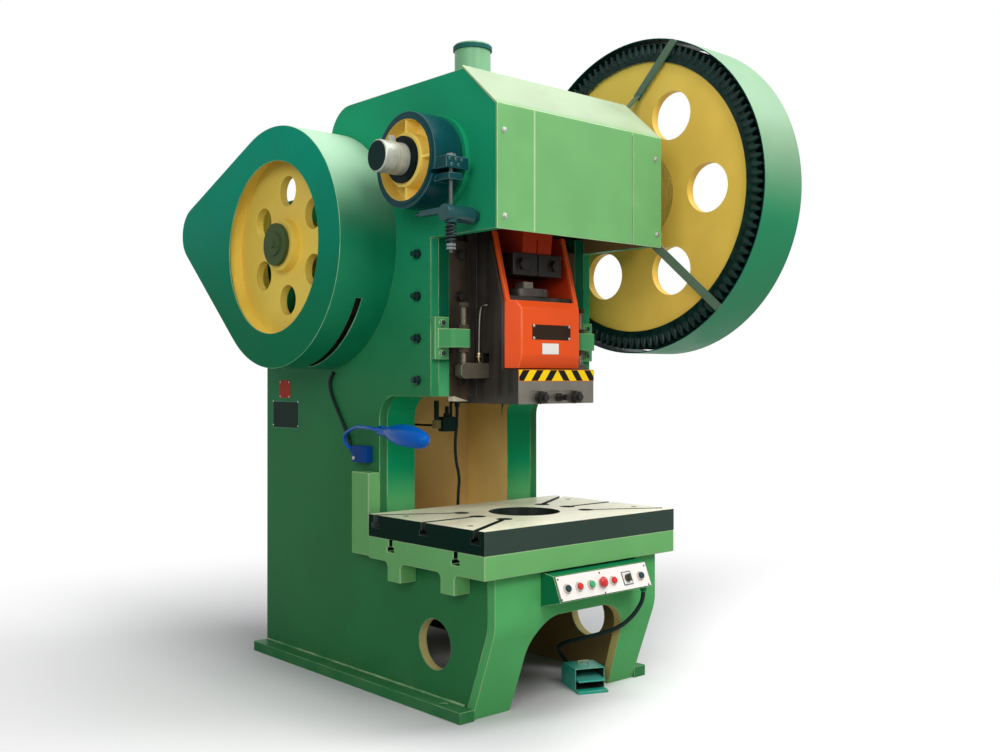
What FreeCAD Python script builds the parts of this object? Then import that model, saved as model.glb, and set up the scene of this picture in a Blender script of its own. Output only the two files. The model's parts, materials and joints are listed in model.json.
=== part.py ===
import FreeCAD, Part
import math
import os

# Open-front fixed-bed crank press: a welded C-frame whose crankshaft runs from side to side,
# with a brake on its left end, a geared drive on its right end and a flywheel at the back.
# Millimetres. +X is the right-hand side seen from the front, the front faces -Y, +Z is up.
# The origin lies on the floor, straight under the axis of the ram.

V = FreeCAD.Vector

# ---------------------------------------------------------------- driving dimensions
SLIP = 0.3                  # side clearance between pieces that move past each other
RUN = 0.05                  # radial running clearance of a shaft in its bush
PLATE = 40                  # wall of the welded frame

# frame
SIDE_X = 458                # outer faces of the side plates
COLUMN_X = 270              # inner faces of the columns, half the distance between the uprights
APRON_Y = -329              # front face of the apron under the bed
TOE_Y = -197                # where the inclined foot of the apron meets the floor
KNEE_Z = 350                # where the apron turns from upright to inclined
BACK_Y = 1328               # back face of the frame
BACK_Z = 1860               # height at which the back turns into the rear slope
THROAT_Y = 402              # front face of the columns, the back of the throat
THROAT_R = 100              # round at the top of the throat
JAW_Y = 55                  # front face of the jaws that carry the gibs
JAW_X = 363                 # inner faces of the jaws
JAW_Z = 1229                # underside of the jaws
HEAD_Z = 1862               # underside of the head
HEAD_Y = -344               # front of the head under its cover
FOLD_Z = 2320               # where the head's front folds into its slope
RIDGE_Y = -151
HEAD_ROOM = 125             # from the highest sweep of the rod's eye to the top of the head
HEAD_BACK_Y = 775           # back of the head
HEAD_BACK_Z = 2300          # where the back of the head turns into the rear slope
HEAD_R = 150
WINDOW_R = 100              # round hole in each side plate
WINDOW_Y, WINDOW_Z = 30, 250
ARCH_X, ARCH_Z, ARCH_R = 262, 378, 150
ARCH_TOE_X = 307            # the right side of the arch leans out to this at the floor
PANEL_Y = 690               # sheet that closes the back of the throat
PANEL_T = 8
BELLY_Z = 1700              # top of that sheet

# feet, bed and bolster
FOOT_W, FOOT_T = 71, 45
FOOT_Y = -212
FOOT_HOLE_R = 15
FOOT_HOLE_X = 497
FOOT_HOLE_Y = (-75, 1215)
BED_X = 540                 # half width of bed and bolster
BED_Y = 364                 # half depth of the bolster
BED_Z = 560                 # underside of the bed's flange
BED_TOP = 652
BOLSTER_T = 90
BOLSTER_HOLE_R = 150
SHOULDER_X, SHOULDER_Z = 515, 907    # side and top of the shoulder behind the bed, left only
SHOULDER_BACK = 525
RIB_Z = 482
RIB_Y = ((-189, -106), (148, 234))
BED_SLOT_Y = (-196, 214)
SLOT_W, SLOT_HEAD_W = 24, 46
SLOT_NECK, SLOT_HEAD = 32, 20
SLOT_IN_X, SLOT_IN_Y = 232, 133
SLOT_OUT_Y = 315

# crankshaft, brake and connecting rod
CRANK_Z = 2140
STROKE = 140
THROW = STROKE / 2
JOURNAL_R = 80
PIN_R = 105
PIN_X = 95                  # half length of the crank pin
WEB_T = 60
WEB_R = 150
SHAFT_END_X = -761
SHAFT_END_R = 62
CRANK_RIGHT_X = 950
BUSH_T = 18
BOSS_X, BOSS_R = 330, 150   # inner end and radius of the bearing boss in each side plate
FLANGE_T = 24
FLANGE_R = 192
DRUM_X = (-632, -500)
DRUM_R = 170
DRUM_RIM = 14
LINING_T = 7
BAND_T = 8
ADJUST_X, ADJUST_Y = -585, -226   # vertical rod that tightens the brake band
ROD_THREAD_R = 8
ANCHOR_Z, ANCHOR_R = 1915, 32
SPRING_R, SPRING_WIRE_R, SPRING_TURNS = 17, 4.5, 5
SPRING_NUT_Z = 1802         # top of the nuts under the spring
ROD_X = 92
ROD_EYE_R = 160
CLAMP_X, CLAMP_Y = 138, 86  # half sizes of the split clamp at the foot of the rod
CLAMP_Z = (1727, 1818)
SCREW_TOP = 1708
SEAT_Z = 1640               # top of the ram's ball socket
SEAT_R = 101                # flange of the ring that keeps the ball in its socket
SEAT_BODY_R = 90
SEAT_RISE = 34
BALL_R, BALL_DROP = 78, 50

# ram and gibs
RAM_X = 216                 # half width of the ram
RAM_BACK = 215
RAM_Z = 1199                # bottom of the ram at the top of its stroke
SHOE_TOP = 1338             # top of the steel foot of the ram
SHOE_Y = -197
RAM_FACE_Y = -100           # front of the steel sides above the foot
RAM_TOP = 1905
RAM_LEAN_Y = -20            # front of the ram at its top, behind the sloping arms
HOUSING_Y = -162
HOUSING_X = 165
HOUSING_BOTTOM = 1342
SILL_Z = 1618
SHANK_R, SHANK_DEPTH = 30, 80
EJECTOR_R = 13              # hole above the shank for the tool's ejector pin
CLAMP_BLOCK_X, CLAMP_BLOCK_TOP = 150, 1250
STUD_X, STUD_Z, STUD_R = 98, 1225, 14
SET_SCREW_X, SET_SCREW_R = 8, 11
POCKET_X, POCKET_BACK = 184, 176
GIB_X = (262, 363)
GIB_DEPTH = 162
WAY_TIP_X = 300             # tip of the wedge-shaped guide way
WAY_HALF, WAY_TIP_HALF = 50, 12
GIB_SCREW_Z = (1295, 1463, 1633, 1803)
GIB_SCREW_R = 11
BAR_X, BAR_Y, BAR_H = 340, 20, 62
BAR_TOP = 1364
BAR_TRAVEL = 40             # how far the ejector can lift the bar in its slot
STOP_X, STOP_R, STOP_TOP = 335, 14, 1590
BRACKET_X, BRACKET_Z = (380, 452), (1378, 1548)
ARM_Z = (1425, 1500)
ARM_T = 18                  # thickness of the sloping arms of the ram

# geared drive
MODULE = 12
GEAR_TEETH, PINION_TEETH = 115, 27
BACKLASH = 1.2
GEAR_X = (705, 855)
SHAFT_DROP = 258            # how far the pinion shaft lies below the crankshaft
PINION_SHAFT_R = 60
PINION_BOSS_X, PINION_BOSS_R = 380, 120
GEAR_HOLE_PITCH, GEAR_HOLE_R = 405, 110
GUARD_GAP, LOBE_GAP = 20, 31     # clear space round the teeth of gear and pinion
GUARD_X = (694, 966)
SHEET = 5
FLYWHEEL_X = (-712, -520)
FLYWHEEL_R = 470
FLYWHEEL_RIM = 62
FLYWHEEL_WEB_X = (-655, -618)
FLYWHEEL_HOLES, FLYWHEEL_HOLE_R, FLYWHEEL_HOLE_PITCH = 6, 66, 238
WHEEL_GUARD_GAP, WHEEL_OPENING_LIP = 51, 98   # guard and its opening, from the flywheel's rim
WHEEL_GUARD_SHIFT = (-8, -16)                # centre of the guard from the shaft, (y, z)
WHEEL_OPENING_SHIFT = (3, -14)               # centre of its opening from the shaft, (y, z)
WHEEL_GUARD_X = (-735, -458)
MOTOR_Y, MOTOR_Z = 1530, 1995
PULLEY_R = 84
GUARD_TIP_R = 130
MOTOR_R = 158
MOTOR_X = (-380, 90)
MOTOR_SHAFT_R, MOTOR_SHAFT_IN = 24, 60
SHELF_X, SHELF_Y, SHELF_Z = (-380, 120), 1700, (1805, 1835)
BELTS, BELT_PITCH, BELT_W, BELT_H = 4, 26, 22, 14
BELT_FLANK = 5              # how far each side of a belt leans in over its height

# controls, foot switch, lamp and oil pump
BOX_X = (-222, 309)
BOX_BOTTOM, BOX_TOP = 421, 556       # where the control box meets the apron
BOX_LIP = (-398, 546)                # upper front edge of the box, (y, z)
BOX_CHIN = (-438, 450)               # lower front edge of the box
BOX_WALL = 4
PANEL_SHEET = 4
BUTTON_X = (-172, -106, -39, 88, 251)
MUSHROOM_X, SELECTOR_X = 24, 172
CONTROL_Z = 495                      # height of the row of controls
BUTTON_R, BEZEL_R, PRESS = 13, 18, 5
MUSHROOM_R = 21
SWITCH_PLACE, SWITCH_TURN = (190, -169), -24
SWITCH_X, SWITCH_Y, SWITCH_FRONT, SWITCH_H = 66, 100, -60, 96
SWITCH_BASE, SWITCH_WALL = 12, 4
PEDAL_Y, PEDAL_Z, PEDAL_PIN_R = 40, 48, 5
CABLE_R, CONDUIT_R, GOOSENECK_R, LEAD_R = 9, 8, 8, 7
CABLE_START, CABLE_NEXT = (294, -404, 428), (300, -398, 398)
LAMP_Y, LAMP_Z, LAMP_T = (451, 552), (945, 1015), 40
SHADE_R, SHADE_LENGTH, SHADE_CUT = 46, 365, 34
SHADE_NECK = (-575, 239, 1093)
SHADE_TIP = (-617, -123, 1066)
PUMP_X, PUMP_Y, PUMP_Z = (-112, -42), (402, 440), (1066, 1132)
PUMP_TOP = 1204             # top of the pump lever and of the outlet pipe

# derived values
GEAR_R = MODULE * GEAR_TEETH / 2
PINION_R = MODULE * PINION_TEETH / 2
SHAFT_Z = CRANK_Z - SHAFT_DROP
SHAFT_Y = math.sqrt((GEAR_R + PINION_R) ** 2 - SHAFT_DROP ** 2)
TOP_Z = CRANK_Z + THROW + ROD_EYE_R + HEAD_ROOM
GUARD_R = GEAR_R + MODULE + GUARD_GAP
GUARD_LOBE_R = PINION_R + MODULE + LOBE_GAP
WHEEL_GUARD_R = FLYWHEEL_R + WHEEL_GUARD_GAP
WHEEL_OPENING_R = FLYWHEEL_R - WHEEL_OPENING_LIP
BOLSTER_Z = BED_TOP + BOLSTER_T
GIB_Y = JAW_Y + GIB_DEPTH / 2
GIB_BACK = JAW_Y + GIB_DEPTH
INNER_X = SIDE_X - PLATE
BALL_Z = SEAT_Z - BALL_DROP
BAND_INNER = DRUM_R + SLIP
BAND_OUTER = BAND_INNER + LINING_T + BAND_T
BAND_X = (DRUM_X[0] + 4, DRUM_X[1] - 4)
LINE_OF_CENTRES = math.atan2(SHAFT_Z - CRANK_Z, SHAFT_Y)
BELT_MID = (FLYWHEEL_X[0] + FLYWHEEL_X[1]) / 2
BELT_X = [BELT_MID + BELT_PITCH * (k - (BELTS - 1) / 2) for k in range(BELTS)]
PULLEY_X = (BELT_X[0] - BELT_PITCH / 2 - 8, BELT_X[-1] + BELT_PITCH / 2 + 8)


# ---------------------------------------------------------------- shared forms
def box(x, y, z):
    """A block from three pairs of limits."""
    return Part.makeBox(x[1] - x[0], y[1] - y[0], z[1] - z[0], V(x[0], y[0], z[0]))


def bar_x(x, y, z, radius):
    return Part.makeCylinder(radius, x[1] - x[0], V(x[0], y, z), V(1, 0, 0))


def bar_y(x, y, z, radius):
    return Part.makeCylinder(radius, y[1] - y[0], V(x, y[0], z), V(0, 1, 0))


def bar_z(x, y, z, radius):
    return Part.makeCylinder(radius, z[1] - z[0], V(x, y, z[0]), V(0, 0, 1))


def tube_x(x, y, z, outer, inner):
    return bar_x(x, y, z, outer).cut(bar_x((x[0] - 1, x[1] + 1), y, z, inner))


def corner_arc(before, corner, after, radius):
    """The three points of the arc that rounds one corner of an outline."""
    to_before = (before - corner).normalize()
    to_after = (after - corner).normalize()
    half = to_before.getAngle(to_after) / 2
    reach = radius / math.tan(half)
    start = corner + to_before * reach
    end = corner + to_after * reach
    centre = corner + (to_before + to_after).normalize() * (radius / math.sin(half))
    middle = centre + (corner - centre).normalize() * radius
    return start, middle, end


def outline(points, place):
    """A closed wire through points (a, b) or (a, b, r), where r rounds that corner."""
    spots = [place(p[0], p[1]) for p in points]
    count = len(points)
    arcs = []
    for i, point in enumerate(points):
        if len(point) > 2:
            arcs.append(corner_arc(spots[i - 1], spots[i], spots[(i + 1) % count], point[2]))
        else:
            arcs.append((spots[i], None, spots[i]))
    edges = []
    for i, (start, middle, end) in enumerate(arcs):
        if middle is not None:
            edges.append(Part.Arc(start, middle, end).toShape())
        following = arcs[(i + 1) % count][0]
        if (following - end).Length > 1e-6:
            edges.append(Part.LineSegment(end, following).toShape())
    return Part.Wire(edges)


def slab_x(points, x):
    """An outline in (y, z) given a thickness along X."""
    wire = outline(points, lambda a, b: V(x[0], a, b))
    return Part.Face(wire).extrude(V(x[1] - x[0], 0, 0))


def slab_y(points, y):
    """An outline in (x, z) given a thickness along Y."""
    wire = outline(points, lambda a, b: V(a, y[0], b))
    return Part.Face(wire).extrude(V(0, y[1] - y[0], 0))


def slab_z(points, z):
    """An outline in (x, y) given a thickness along Z."""
    wire = outline(points, lambda a, b: V(a, b, z[0]))
    return Part.Face(wire).extrude(V(0, 0, z[1] - z[0]))


def other_side(shape):
    """The same piece on the opposite side of the press."""
    return shape.mirror(V(0, 0, 0), V(1, 0, 0))


def pair(shape):
    return Part.Compound([shape, other_side(shape)])


def fused(shapes):
    return shapes[0].fuse(shapes[1:]).removeSplitter()


def hex_prism(base, direction, across, height):
    """A hexagon nut or bolt head that stands on its base point."""
    side = V(1, 0, 0) if abs(direction.x) < 0.9 else V(0, 1, 0)
    up = direction.cross(side)
    reach = across / math.sqrt(3)
    corners = []
    for k in range(6):
        turn = math.radians(60 * k)
        corners.append(base + side * (reach * math.cos(turn)) + up * (reach * math.sin(turn)))
    return Part.Face(Part.makePolygon(corners + corners[:1])).extrude(direction * height)


def cord(points, radius):
    """A round cord of straight runs joined by arcs that touch both runs."""
    spots = [V(*p) for p in points]
    edges, bends = [], []
    start = spots[0]
    for before, corner, after in zip(spots, spots[1:], spots[2:]):
        short = min((corner - before).Length, (after - corner).Length)
        turn = (corner - before).getAngle(after - corner)
        bend = 0.45 * short / math.tan(turn / 2)
        first, middle, last = corner_arc(before, corner, after, bend)
        edges.append(Part.LineSegment(start, first).toShape())
        edges.append(Part.Arc(first, middle, last).toShape())
        start = last
        bends.append(round(bend))
    edges.append(Part.LineSegment(start, spots[-1]).toShape())
    length = sum(edge.Length for edge in edges)
    circle = Part.Wire([Part.Circle(spots[0], spots[1] - spots[0], radius).toShape()])
    tube = Part.Wire(edges).makePipeShell([circle], True, False)
    share = tube.Volume / (math.pi * radius ** 2 * length)
    print("cord", round(length), "mm, bends", bends, "of straight volume", round(share, 4))
    return tube


def loop_face(x, big, big_r, small, small_r):
    """A flat face round two circles: two arcs and the two straight runs that touch both."""
    span = math.hypot(small[0] - big[0], small[1] - big[1])
    aim = math.atan2(small[1] - big[1], small[0] - big[0])
    lean = math.acos((big_r - small_r) / span)

    def spot(centre, radius, angle):
        return V(x, centre[0] + radius * math.cos(angle), centre[1] + radius * math.sin(angle))

    high, low = aim + lean, aim - lean
    return Part.Face(Part.Wire([
        Part.LineSegment(spot(small, small_r, high), spot(big, big_r, high)).toShape(),
        Part.Arc(spot(big, big_r, high), spot(big, big_r, aim + math.pi),
                 spot(big, big_r, low)).toShape(),
        Part.LineSegment(spot(big, big_r, low), spot(small, small_r, low)).toShape(),
        Part.Arc(spot(small, small_r, low), spot(small, small_r, aim),
                 spot(small, small_r, high)).toShape(),
    ]))


# ---------------------------------------------------------------- welded frame
def side_plate():
    """Right-hand side plate of the C-frame with its bearing bosses and screw holes."""
    plate = slab_x([
        (TOE_Y + PLATE, 0), (APRON_Y + PLATE, KNEE_Z, 200), (APRON_Y + PLATE, BED_Z),
        (THROAT_Y, BED_Z), (THROAT_Y, JAW_Z, THROAT_R), (JAW_Y, JAW_Z), (JAW_Y, HEAD_Z),
        (HEAD_Y, HEAD_Z), (HEAD_Y, FOLD_Z), (RIDGE_Y, TOP_Z), (HEAD_BACK_Y, TOP_Z, HEAD_R),
        (HEAD_BACK_Y, HEAD_BACK_Z, 60), (BACK_Y, BACK_Z, 120), (BACK_Y, 0),
    ], (INNER_X, SIDE_X))
    boss = bar_x((BOSS_X, INNER_X + 1), 0, CRANK_Z, BOSS_R)
    pinion_boss = bar_x((PINION_BOSS_X, INNER_X + 1), SHAFT_Y, SHAFT_Z, PINION_BOSS_R)
    plate = fused([plate, boss, pinion_boss])
    through = (BOSS_X - 1, SIDE_X + 1)
    plate = plate.cut(bar_x(through, WINDOW_Y, WINDOW_Z, WINDOW_R))
    plate = plate.cut(bar_x(through, 0, CRANK_Z, JOURNAL_R + BUSH_T))
    plate = plate.cut(bar_x(through, SHAFT_Y, SHAFT_Z, PINION_SHAFT_R + BUSH_T))
    for z in GIB_SCREW_Z:
        plate = plate.cut(bar_x(through, GIB_Y, z, GIB_SCREW_R + SLIP))
    return plate


def throat_columns():
    """Bent plate that lines the throat on each side, and the wall behind it."""
    bent = slab_x([
        (THROAT_Y, BED_TOP), (THROAT_Y, JAW_Z, THROAT_R), (GIB_BACK, JAW_Z),
        (GIB_BACK, JAW_Z + PLATE), (THROAT_Y + PLATE, JAW_Z + PLATE, THROAT_R + PLATE),
        (THROAT_Y + PLATE, BED_TOP),
    ], (COLUMN_X, INNER_X))
    wall = box((COLUMN_X, COLUMN_X + PLATE / 2), (THROAT_Y + PLATE - 1, PANEL_Y + PANEL_T),
               (BED_TOP, BELLY_Z))
    wall = wall.cut(box((0, SIDE_X), (0, THROAT_Y + THROAT_R), (JAW_Z + PLATE, BELLY_Z + 1)))
    return pair(fused([bent, wall]))


def jaws():
    """Thick blocks inside the side plates that take the thrust of the gibs."""
    top = HEAD_Z + 60
    side = box((JAW_X, INNER_X), (JAW_Y, GIB_BACK), (JAW_Z, top))
    rear = box((GIB_X[0] + 40, INNER_X), (GIB_BACK, GIB_BACK + GIB_DEPTH), (JAW_Z + PLATE, top))
    jaw = fused([side, rear])
    for z in GIB_SCREW_Z:
        jaw = jaw.cut(bar_x((JAW_X - 1, SIDE_X), GIB_Y, z, GIB_SCREW_R + SLIP))
    return pair(jaw)


def back_and_top():
    """One bent plate over the head, down the rear slope and down the back."""
    t = PLATE * 0.75
    slope = math.atan2(HEAD_BACK_Z - BACK_Z, BACK_Y - HEAD_BACK_Y)
    drop = t * math.tan((math.pi / 2 - slope) / 2)
    return slab_x([
        (RIDGE_Y, TOP_Z), (HEAD_BACK_Y, TOP_Z, HEAD_R), (HEAD_BACK_Y, HEAD_BACK_Z, 60),
        (BACK_Y, BACK_Z, 120), (BACK_Y, 0), (BACK_Y - t, 0), (BACK_Y - t, BACK_Z - drop, 120 - t),
        (HEAD_BACK_Y - t, HEAD_BACK_Z - drop, 60 + t), (HEAD_BACK_Y - t, TOP_Z - t, HEAD_R - t),
        (RIDGE_Y, TOP_Z - t),
    ], (-INNER_X, INNER_X))


def throat_panel():
    """Painted sheet that closes the back and the floor of the throat."""
    back = box((-COLUMN_X, COLUMN_X), (PANEL_Y, PANEL_Y + PANEL_T), (BED_TOP - PANEL_T, BELLY_Z))
    floor = box((-INNER_X, INNER_X), (THROAT_Y, PANEL_Y + PANEL_T), (BED_TOP - PANEL_T, BED_TOP))
    return fused([back, floor])


def front_apron():
    """Apron under the bed, upright at the top and inclined at the foot, with an arch."""
    apron = slab_x([
        (TOE_Y, 0), (APRON_Y, KNEE_Z, 200), (APRON_Y, BED_Z), (APRON_Y + PLATE, BED_Z),
        (APRON_Y + PLATE, KNEE_Z, 200), (TOE_Y + PLATE, 0),
    ], (-SIDE_X, SIDE_X))
    arch = slab_y([(-ARCH_X, -1), (-ARCH_X, ARCH_Z, ARCH_R), (ARCH_X, ARCH_Z, ARCH_R),
                   (ARCH_TOE_X, -1)], (APRON_Y - 10, TOE_Y + 2 * PLATE))
    return apron.cut(arch)


def tee_slot(length, top):
    """Cutter for a T-slot along +X from the origin, open at the height given."""
    neck = box((0, length), (-SLOT_W / 2, SLOT_W / 2), (top - SLOT_NECK - 1, top + 1))
    head = box((0, length), (-SLOT_HEAD_W / 2, SLOT_HEAD_W / 2),
               (top - SLOT_NECK - SLOT_HEAD, top - SLOT_NECK))
    return neck.fuse(head)


def bed():
    """Cast bed: thick flange, shoulder beside the left column, ribs under the overhang."""
    flange = box((-BED_X, BED_X), (-BED_Y, BED_Y), (BED_Z, BED_TOP))
    neck = box((-SIDE_X, SIDE_X), (BED_Y - 1, THROAT_Y), (BED_Z, BED_TOP))
    shoulder = slab_x([(THROAT_Y, BED_TOP), (THROAT_Y, SHOULDER_Z),
                       (SHOULDER_BACK, SHOULDER_Z), (SHOULDER_BACK, BED_Z),
                       (BED_Y - 1, BED_Z), (BED_Y - 1, BED_TOP)], (-SHOULDER_X, -SIDE_X))
    ribs = []
    for front, back in RIB_Y:
        ribs.append(slab_x([(front - 26, BED_Z + 1), (front - 26, BED_Z), (front, BED_Z, 25),
                            (front, RIB_Z), (back, RIB_Z), (back, BED_Z, 25),
                            (back + 26, BED_Z), (back + 26, BED_Z + 1)], (SIDE_X, BED_X)))
    casting = fused([flange, neck, shoulder] + ribs + [other_side(rib) for rib in ribs])
    for y in BED_SLOT_Y:
        slot = tee_slot(2 * BED_X + 2, BED_TOP)
        slot.translate(V(-BED_X - 1, y, 0))
        casting = casting.cut(slot)
    return casting.cut(bar_z(0, 0, (BED_Z - 1, BED_TOP + 1), BOLSTER_HOLE_R + 20))


def foot_flanges():
    foot = box((SIDE_X, SIDE_X + FOOT_W), (FOOT_Y, BACK_Y), (0, FOOT_T))
    for y in FOOT_HOLE_Y:
        foot = foot.cut(bar_z(FOOT_HOLE_X, y, (-1, FOOT_T + 1), FOOT_HOLE_R))
    return pair(foot)


def bolster():
    """Bolster plate with its drop hole, six T-slots and four tapped lifting holes."""
    plate = box((-BED_X, BED_X), (-BED_Y, BED_Y), (BED_TOP, BOLSTER_Z))
    plate = plate.cut(bar_z(0, 0, (BED_TOP - 1, BOLSTER_Z + 1), BOLSTER_HOLE_R))
    reach = BED_X - SLOT_IN_X
    skew = math.degrees(math.atan2(SLOT_OUT_Y - SLOT_IN_Y, reach))
    length = math.hypot(reach, SLOT_OUT_Y - SLOT_IN_Y) + 40
    mouth = slab_z([(-30, -32, 30), (34, -32, 30), (34, 32, 30), (-30, 32, 30)],
                   (BOLSTER_Z - SLOT_NECK - SLOT_HEAD, BOLSTER_Z + 1))
    for turn, start in ((0, V(SLOT_IN_X + 25, 0, 0)), (skew, V(SLOT_IN_X, SLOT_IN_Y, 0)),
                        (-skew, V(SLOT_IN_X, -SLOT_IN_Y, 0))):
        slot = tee_slot(length, BOLSTER_Z).fuse(mouth)
        slot.rotate(V(0, 0, 0), V(0, 0, 1), turn)
        slot.translate(start)
        plate = plate.cut(slot).cut(other_side(slot))
    for x in (-468, 468):
        for y in (-200, 203):
            plate = plate.cut(bar_z(x, y, (BOLSTER_Z - 50, BOLSTER_Z + 1), 12))
    return plate


def head_cover():
    """Bent sheet over the front of the head, in three fields divided by two seams."""
    t = 10
    wide = SIDE_X + 11
    cover = slab_x([
        (HEAD_Y, HEAD_Z - 4), (HEAD_Y, FOLD_Z), (RIDGE_Y, TOP_Z), (RIDGE_Y, TOP_Z + t),
        (HEAD_Y - t, FOLD_Z + t / 2), (HEAD_Y - t, HEAD_Z - 4),
    ], (-wide, wide))
    for x in (-278, 285):
        cover = cover.cut(box((x - 2, x + 2), (HEAD_Y - t - 1, HEAD_Y - t + 3),
                              (HEAD_Z - 5, FOLD_Z + t)))
    return cover


def breather():
    """Exhaust pipe of the clutch air on top of the head, with a rolled rim."""
    y, rise, outer = 335, 285, 80
    pipe = bar_z(0, y, (TOP_Z, TOP_Z + rise), outer)
    rim = bar_z(0, y, (TOP_Z + rise - 28, TOP_Z + rise - 8), outer + 7)
    pipe = fused([pipe, rim])
    return pipe.cut(bar_z(0, y, (TOP_Z - 1, TOP_Z + rise + 1), outer - 5))


# ---------------------------------------------------------------- crankshaft, brake, rod
def crank_bearings():
    """Flanged bronze bushes of the crankshaft, pressed into the side plates."""
    sleeve = tube_x((BOSS_X, SIDE_X + FLANGE_T), 0, CRANK_Z, JOURNAL_R + BUSH_T, JOURNAL_R + RUN)
    flange = tube_x((SIDE_X, SIDE_X + FLANGE_T), 0, CRANK_Z, FLANGE_R, JOURNAL_R + RUN)
    return pair(fused([sleeve, flange]))


def crankshaft():
    """One forging: end journals, two webs and the crank pin, which points up at rest."""
    left_step = -(SIDE_X + FLANGE_T + 6)
    right_step = GEAR_X[0] - 110
    pin_z = CRANK_Z + THROW
    web = slab_x([(-WEB_R, pin_z, 90), (30 - WEB_R, CRANK_Z - 120, 60),
                  (WEB_R - 30, CRANK_Z - 120, 60), (WEB_R, pin_z, 90),
                  (WEB_R - 55, pin_z + PIN_R + 12, 50), (55 - WEB_R, pin_z + PIN_R + 12, 50)],
                 (PIN_X, PIN_X + WEB_T))
    lug = box((SHAFT_END_X + 60, SHAFT_END_X + 85), (-9, 9), (CRANK_Z + 50, CRANK_Z + 84))
    shaft = fused([
        bar_x((SHAFT_END_X + 5, left_step), 0, CRANK_Z, SHAFT_END_R),
        Part.makeCone(SHAFT_END_R - 5, SHAFT_END_R, 5, V(SHAFT_END_X, 0, CRANK_Z), V(1, 0, 0)),
        bar_x((left_step, -PIN_X - 1), 0, CRANK_Z, JOURNAL_R),
        bar_x((PIN_X + 1, right_step), 0, CRANK_Z, JOURNAL_R),
        bar_x((right_step, CRANK_RIGHT_X), 0, CRANK_Z, JOURNAL_R - 8),
        bar_x((-PIN_X, PIN_X), 0, pin_z, PIN_R), web, other_side(web), lug,
    ])
    return shaft


def shaft_nuts():
    """Ring nut outside the brake drum and collar outside the big gear."""
    inner = tube_x((DRUM_X[0] - 16, DRUM_X[0]), 0, CRANK_Z, 90, SHAFT_END_R)
    collar = tube_x((CRANK_RIGHT_X - 22, CRANK_RIGHT_X), 0, CRANK_Z, JOURNAL_R + 38,
                    JOURNAL_R - 8)
    return Part.Compound([inner, collar])


def brake_drum():
    """Cast drum keyed to the shaft: hub, web set back and four ribs."""
    pieces = [
        bar_x(DRUM_X, 0, CRANK_Z, 104),
        bar_x((DRUM_X[0] + 62, DRUM_X[0] + 76), 0, CRANK_Z, DRUM_R - 5),
        tube_x(DRUM_X, 0, CRANK_Z, DRUM_R, DRUM_R - DRUM_RIM),
    ]
    for k in range(4):
        rib = box((DRUM_X[0] + 8, DRUM_X[0] + 70), (-6, 6), (98, DRUM_R - 6))
        rib.rotate(V(0, 0, 0), V(1, 0, 0), 90 * k)
        rib.translate(V(0, 0, CRANK_Z))
        pieces.append(rib)
    bore = bar_x((DRUM_X[0] - 1, DRUM_X[1] + 1), 0, CRANK_Z, SHAFT_END_R)
    return fused(pieces).cut(bore)


def brake_band():
    """Steel band with its lining, split at the front between two riveted eye blocks."""
    band = tube_x(BAND_X, 0, CRANK_Z, BAND_OUTER, BAND_INNER)
    split = box((BAND_X[0] - 1, BAND_X[1] + 1), (-BAND_OUTER - 1, -100),
                (CRANK_Z - 74, CRANK_Z - 58))
    pieces = [band.cut(split)]
    inside = bar_x((BAND_X[0] - 1, BAND_X[1] + 1), 0, CRANK_Z, BAND_OUTER - 4)
    face = ADJUST_Y - 18
    for low, high, x in ((CRANK_Z - 58, CRANK_Z - 14, (BAND_X[0] + 6, BAND_X[1] - 10)),
                         (CRANK_Z - 100, CRANK_Z - 76, (BAND_X[0] + 20, BAND_X[1] - 40))):
        pieces.append(box(x, (face, -140), (low, high)).cut(inside))
    middle = sum(BAND_X) / 2
    for x, z in ((-38, -25), (-9, -25), (20, -25), (-28, -46), (4, -46)):
        pieces.append(bar_y(middle + x, (face - 4, face + 1), CRANK_Z + z, 6))
    hole = bar_z(ADJUST_X, ADJUST_Y, (CRANK_Z - 140, CRANK_Z), ROD_THREAD_R + SLIP)
    return fused(pieces).cut(hole)


def brake_rod():
    """Threaded rod that pulls the band tight, with its nuts."""
    top = CRANK_Z - 14
    pieces = [bar_z(ADJUST_X, ADJUST_Y, (SPRING_NUT_Z - 34, top + 14), ROD_THREAD_R)]
    for base, height in ((top, 9), (SPRING_NUT_Z - 10, 10), (SPRING_NUT_Z - 22, 9)):
        pieces.append(hex_prism(V(ADJUST_X, ADJUST_Y, base), V(0, 0, 1), 34, height))
    return fused(pieces)


def brake_anchor():
    """Fixed pin on the frame that carries the rod, and the release arm behind it."""
    hole = bar_z(ADJUST_X, ADJUST_Y, (ANCHOR_Z - 60, ANCHOR_Z + 60), ROD_THREAD_R + SLIP)
    return fused([
        bar_x((ADJUST_X - 36, -SIDE_X - 28), ADJUST_Y, ANCHOR_Z, ANCHOR_R),
        bar_x((-SIDE_X - 28, -SIDE_X), ADJUST_Y, ANCHOR_Z, ANCHOR_R - 11),
        bar_z(ADJUST_X, ADJUST_Y, (ANCHOR_Z - ANCHOR_R - 4, ANCHOR_Z), SPRING_R + 7),
        box((ADJUST_X - 12, ADJUST_X + 12), (ADJUST_Y + 10, -48), (ANCHOR_Z + 4, ANCHOR_Z + 28)),
        bar_y(ADJUST_X, (-49, -16), ANCHOR_Z + 16, 8),
    ]).cut(hole)


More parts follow.
